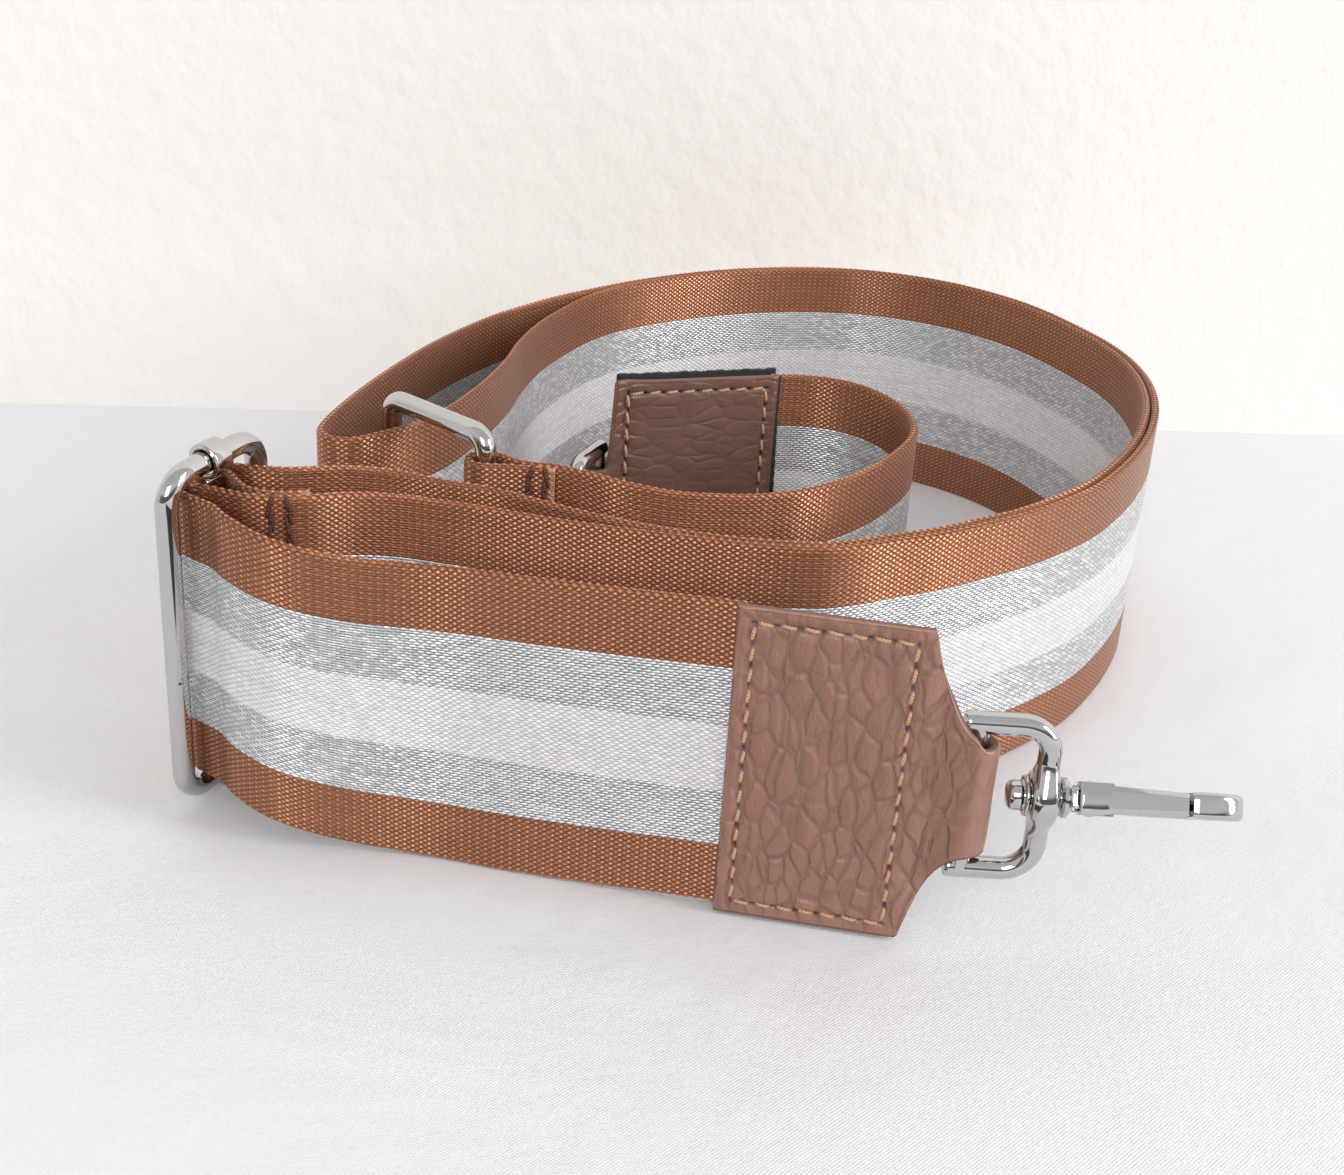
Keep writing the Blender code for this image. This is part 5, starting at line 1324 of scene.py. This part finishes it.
class BAGSTRAP_OT_hooks(StrapOperator):
    """Make both snap hooks: eye, swivel, hook, washer, gate, pin and spring."""
    bl_idname = "bag_strap.hooks"
    bl_label = "Snap hooks"

    def execute(self, context):
        metal = self.metal(context)
        for letter, side in (("a", "front"), ("b", "back")):
            spot = Vector(JOINTS[side + "_eye_swing"]["pos_m"])
            along = Vector(JOINTS[side + "_hook_swivel"]["axis"]).normalized()
            gate_axis = Vector(JOINTS[side + "_gate_press"]["axis"]).normalized()
            eye_place, place = frame_at(spot, along), frame_at(spot, along, gate_axis)
            pin = Matrix.Translation((PIN_ALONG, -PIN_SIDE, 0.0))
            self.eye(letter, side, eye_place, metal)
            for name, mesh, body, node in (
                    ("hook_body", self.hook(), "hook", "hook"),
                    ("swivel_ring", self.washer(), "hook", "swivel_washer"),
                    ("hook_gate", self.gate(), "gate", "gate"),
                    ("gate_rivet", self.rivet(), "hook", "gate_pin"),
                    ("gate_coil", self.coil(), "hook", "gate_spring")):
                mesh.transform(place @ pin if node in ("gate", "gate_pin", "gate_spring") else place)
                put("%s_%s" % (name, letter), mesh, metal, "%s_%s" % (side, body), "nickel",
                    "%s_%s" % (node, letter))
        return {"FINISHED"}

    def eye(self, letter, side, place, metal):
        """The D of round wire: two square-ended legs on a straight bar, and a boss that swells
        out of the wire, bored for the swivel."""
        corners = (EYE_TIP_CORNER, EYE_CORNER, EYE_CORNER, EYE_TIP_CORNER)
        full = corner_loop(EYE_DEEP, EYE_TALL, corners, 14, 0.0005)
        full[:, 0] += EYE_DEEP / 2
        bend = full[(full[:, 0] > 0.0008)]
        squeeze = np.where(bend[:, 2] > 0, 1 - 2 * EYE_LOWER / EYE_TALL, 1.0)
        bend[:, 2] *= 1 + (squeeze - 1) * ramp_share(np.abs(bend[:, 2]), EYE_LOWER_START, EYE_LOWER_FULL)
        low = np.array((EYE_LEG_END, 0.0, bend[0, 2]))
        high = np.array((EYE_LEG_END, 0.0, bend[-1, 2]))
        line = np.concatenate([np.linspace(low, bend[0], 10)[:-1], bend,
                               np.linspace(bend[-1], high, 10)[1:]])
        from_end = np.minimum(line[:, 0] - low[0], 0.0003) / 0.0003
        from_end[10:-10] = 1.0
        legs = tube("eye", line, EYE_WIRE * (0.86 + 0.14 * from_end), 28, closed=False)
        bar = lathe("bar", ((low[2], 0.0), (low[2], EYE_WIRE * 0.97), (high[2], EYE_WIRE * 0.97),
                            (high[2], 0.0)), 28)
        bar.transform(Matrix.Rotation(-pi / 2, 4, "Y"))
        start, end, radius = BOSS_START, BOSS_END, BOSS_RADIUS
        boss = lathe("boss", (
            (start, BORE_RADIUS * 0.6), (start, radius - 0.0006), (start + 0.0002, radius - 0.0002),
            (start + 0.0006, radius), (start + 0.0014, radius), (end - 0.0016, radius - 0.0002),
            (end - 0.0008, radius - 0.0007), (end - 0.0003, radius - 0.0011), (end, radius - 0.0014),
            (end, BORE_RADIUS * 0.6)), 48)
        # The wire widens to a flat-backed lens round the boss.
        heights = np.linspace(-LENS_HALF, LENS_HALF, 63)
        swell = np.cos(heights / LENS_HALF * pi / 2) ** 1.6
        angle = 2 * pi * (np.arange(40) + 0.5) / 40
        deep = EYE_WIRE * 0.97 + 0.00045 * swell
        wide = EYE_WIRE * 0.97 + (radius + 0.0004 - EYE_WIRE) * swell
        power = 2.0 / (2.0 + 1.6 * swell)
        c, s = np.cos(angle)[None, :], np.sin(angle)[None, :]
        rings = np.stack([
            EYE_DEEP + deep[:, None] * np.sign(c) * np.abs(c) ** power[:, None],
            wide[:, None] * np.sign(s) * np.abs(s) ** power[:, None],
            np.broadcast_to(heights[:, None], (63, 40))], axis=-1)
        lens = skin("lens", rings)
        bore = lathe("bore", ((start - 0.002, 0.0), (start - 0.002, BORE_RADIUS),
                              (end + 0.002, BORE_RADIUS), (end + 0.002, 0.0)))
        mesh = fuse("hook_eye_%s" % letter, legs, [bar, lens, boss], [bore])
        mesh.transform(place)
        put("hook_eye_%s" % letter, mesh, metal, side + "_eye", "nickel", "eye_%s" % letter)

    def hook(self):
        """Swivel head, stem, collar, forked lug and the curved hook in one casting."""
        rows = np.array([(LUG_START + along * HOOK_LONG, side * HOOK_BELLY, 0.0)
                         for along, side in HOOK_LINE_SHARES])
        line, gone = even_line(smooth_line(rows), 0.00035)
        left = gone[-1] - gone
        size = HOOK_WIRE * (1.0 - 0.12 * np.exp(-left / 0.0004))
        body = tube("hook", line, size, 40, closed=False, square=5.0, up=UP)
        turned = lathe("swivel", (
            (HEAD_START, 0.0), (HEAD_START, HEAD_RADIUS * 0.55),
            (HEAD_START + 0.0001, HEAD_RADIUS * 0.75), (HEAD_START + 0.0004, HEAD_RADIUS * 0.93),
            (HEAD_START + 0.0008, HEAD_RADIUS),
            (HEAD_END - 0.0002, HEAD_RADIUS), (HEAD_END, HEAD_RADIUS - 0.0002), (HEAD_END, STEM_RADIUS),
            (COLLAR_START, STEM_RADIUS), (COLLAR_START, COLLAR_RADIUS - 0.0003),
            (COLLAR_START + 0.0003, COLLAR_RADIUS), (COLLAR_END - 0.0003, COLLAR_RADIUS),
            (COLLAR_END, COLLAR_RADIUS - 0.0003), (COLLAR_END + 0.0003, 0.0022),
            (LUG_START + 0.0006, 0.0020), (LUG_START + 0.0006, 0.0)), 48)
        lug = rounded_box("lug", (LUG_START, -LUG_LOW, -LUG_HALF), (LUG_END, LUG_HIGH, LUG_HALF), 0.0004)
        slot = rounded_box("slot", (SLOT_START, -LUG_LOW - 0.002, -SLOT_HALF),
                           (LUG_END + 0.002, SLOT_DEEP - LUG_LOW, SLOT_HALF), 0.0001, 1)
        hole = self.pin_hole(0.003)
        hole.transform(Matrix.Translation((PIN_ALONG, -PIN_SIDE, 0.0)))
        return fuse("hook_body", body, [turned, lug], [slot, hole])

    def pin_hole(self, reach):
        """The drill for the pin's hole, which reaches to both sides of the middle."""
        radius = PIN_RADIUS + PIN_SPARE
        hole = lathe("pin_hole", ((-reach, 0.0), (-reach, radius), (reach, radius), (reach, 0.0)), 20)
        hole.transform(Matrix.Rotation(pi / 2, 4, "Y"))
        return hole

    def washer(self):
        """The loose washer under the swivel's head, with rounded rims."""
        start, end = WASHER_START, WASHER_END
        return lathe("swivel_ring", (
            (start, BORE_RADIUS), (start, WASHER_RADIUS - 0.0003),
            (start + 0.0001, WASHER_RADIUS - 0.0001),
            (start + 0.0003, WASHER_RADIUS), (end - 0.0001, WASHER_RADIUS - 0.0001),
            (end, WASHER_RADIUS - 0.0003), (end, BORE_RADIUS)))

    def gate(self):
        """The pressed lever that shuts the hook: a bevelled plate that narrows to its tip, with
        two cheeks that stand out a little where it turns on its pin."""
        start = SLOT_START - PIN_ALONG
        long = GATE_LONG + 0.0006
        top = PIN_SIDE - GATE_OUTER
        rings = []
        for share in np.concatenate([[0.0, 0.012], np.linspace(0.04, 0.97, 24), [0.99, 1.0]]):
            half = GATE_HALF + (GATE_TIP_HALF - GATE_HALF) * min(max((share - 0.30) / 0.7, 0.0), 1.0)
            half -= 0.00010 + 0.00032 * min(max((share - 0.22) / 0.05, 0.0), 1.0)
            tuck = 0.00022 * max(1.0 - min(share, 1.0 - share) / 0.014, 0.0)
            low = top + GATE_PLATE
            section = ((half - tuck, low), (half - tuck, top + 0.00052), (half - 0.00008, top + 0.00040),
                       (half * 0.66, top + 0.00006), (half * 0.60, top), (0.0, top - 0.00002))
            sides = list(section) + [(-z, y) for z, y in reversed(section[:-1])]
            rings.append([(start + share * long, y + tuck * (y < top + 0.0003), z) for z, y in sides])
        plate = skin("plate", np.array(rings))
        joined = []
        for way in (-1, 1):
            inner, outer = sorted((way * (LUG_HALF + GAP), way * (GATE_HALF - 0.00005)))
            joined.append(rounded_box("cheek", (start + 0.0001, top + GATE_PLATE / 2, inner),
                                      (start + GATE_CHEEK_LONG, top + GATE_CHEEK_DEEP, outer), 0.0002))
        mesh = fuse("hook_gate", plate, joined, [self.pin_hole(0.004)])
        mesh.set_sharp_from_angle(angle=radians(24.0))
        return mesh

    def rivet(self):
        """The gate's pin, with a low dome on each end."""
        half = GATE_HALF
        mesh = lathe("gate_rivet", (
            (-half - 0.0001, 0.0), (-half - 0.0001, PIN_RADIUS * 0.6), (-half + 0.00005, PIN_RADIUS * 0.92),
            (-half + 0.0002, PIN_RADIUS), (half - 0.0002, PIN_RADIUS), (half - 0.00005, PIN_RADIUS * 0.92),
            (half + 0.0001, PIN_RADIUS * 0.6), (half + 0.0001, 0.0)), 24)
        mesh.transform(Matrix.Rotation(pi / 2, 4, "Y"))
        return mesh

    def coil(self):
        """The small torsion spring round the pin, one leg on the hook and one under the gate."""
        # The leg under the gate slants inward, so the pressed gate just reaches it.
        turns = np.linspace(0.0, COIL_TURNS + COIL_SLANT / (2 * pi), 60)
        angle = pi / 2 + 2 * pi * turns
        coil = np.stack([COIL_RADIUS * np.cos(angle), COIL_RADIUS * np.sin(angle),
                         COIL_PITCH * (turns - COIL_TURNS / 2)], axis=1)
        hook_end = coil[0] - (COIL_HOOK_LEG, 0.0, 0.0)
        gate_end = coil[-1] + (COIL_GATE_LEG * cos(COIL_SLANT), COIL_GATE_LEG * sin(COIL_SLANT), 0.0)
        line = np.concatenate([np.linspace(hook_end, coil[0], 8)[:-1], coil,
                               np.linspace(coil[-1], gate_end, 12)[1:]])
        return tube("gate_coil", line, COIL_WIRE, 10, closed=False, up=UP)


class BAGSTRAP_PT_panel(bpy.types.Panel):
    """The strap's steps, sizes and colours in the 3D view's sidebar."""
    bl_label = "Bag Strap"
    bl_idname = "BAGSTRAP_PT_panel"
    bl_space_type = "VIEW_3D"
    bl_region_type = "UI"
    bl_category = "Bag Strap"

    def draw(self, context):
        for step in STEPS:
            self.layout.operator(step.bl_idname)
        for group in (context.scene.bag_strap_sizes, context.scene.bag_strap_colours):
            box = self.layout.box()
            for name in group.__annotations__:
                box.prop(group, name)


STEPS = (BAGSTRAP_OT_stage, BAGSTRAP_OT_webbing, BAGSTRAP_OT_loop_stitches, BAGSTRAP_OT_tabs,
         BAGSTRAP_OT_slider, BAGSTRAP_OT_ring, BAGSTRAP_OT_hooks)
CLASSES = (StrapSizes, StrapColours, *STEPS, BAGSTRAP_PT_panel)


def register():
    """Add the strap's properties, operators and panel."""
    for item in CLASSES:
        bpy.utils.register_class(item)
    bpy.types.Scene.bag_strap_sizes = PointerProperty(type=StrapSizes)
    bpy.types.Scene.bag_strap_colours = PointerProperty(type=StrapColours)


def unregister():
    """Take them away again."""
    del bpy.types.Scene.bag_strap_colours
    del bpy.types.Scene.bag_strap_sizes
    for item in reversed(CLASSES):
        bpy.utils.unregister_class(item)


def main():
    """Build the whole strap and its stage."""
    register()
    bpy.ops.bag_strap.stage()
    bpy.ops.bag_strap.webbing()
    bpy.ops.bag_strap.loop_stitches()
    bpy.ops.bag_strap.tabs()
    bpy.ops.bag_strap.slider()
    bpy.ops.bag_strap.ring()
    bpy.ops.bag_strap.hooks()


if __name__ == "__main__":
    main()
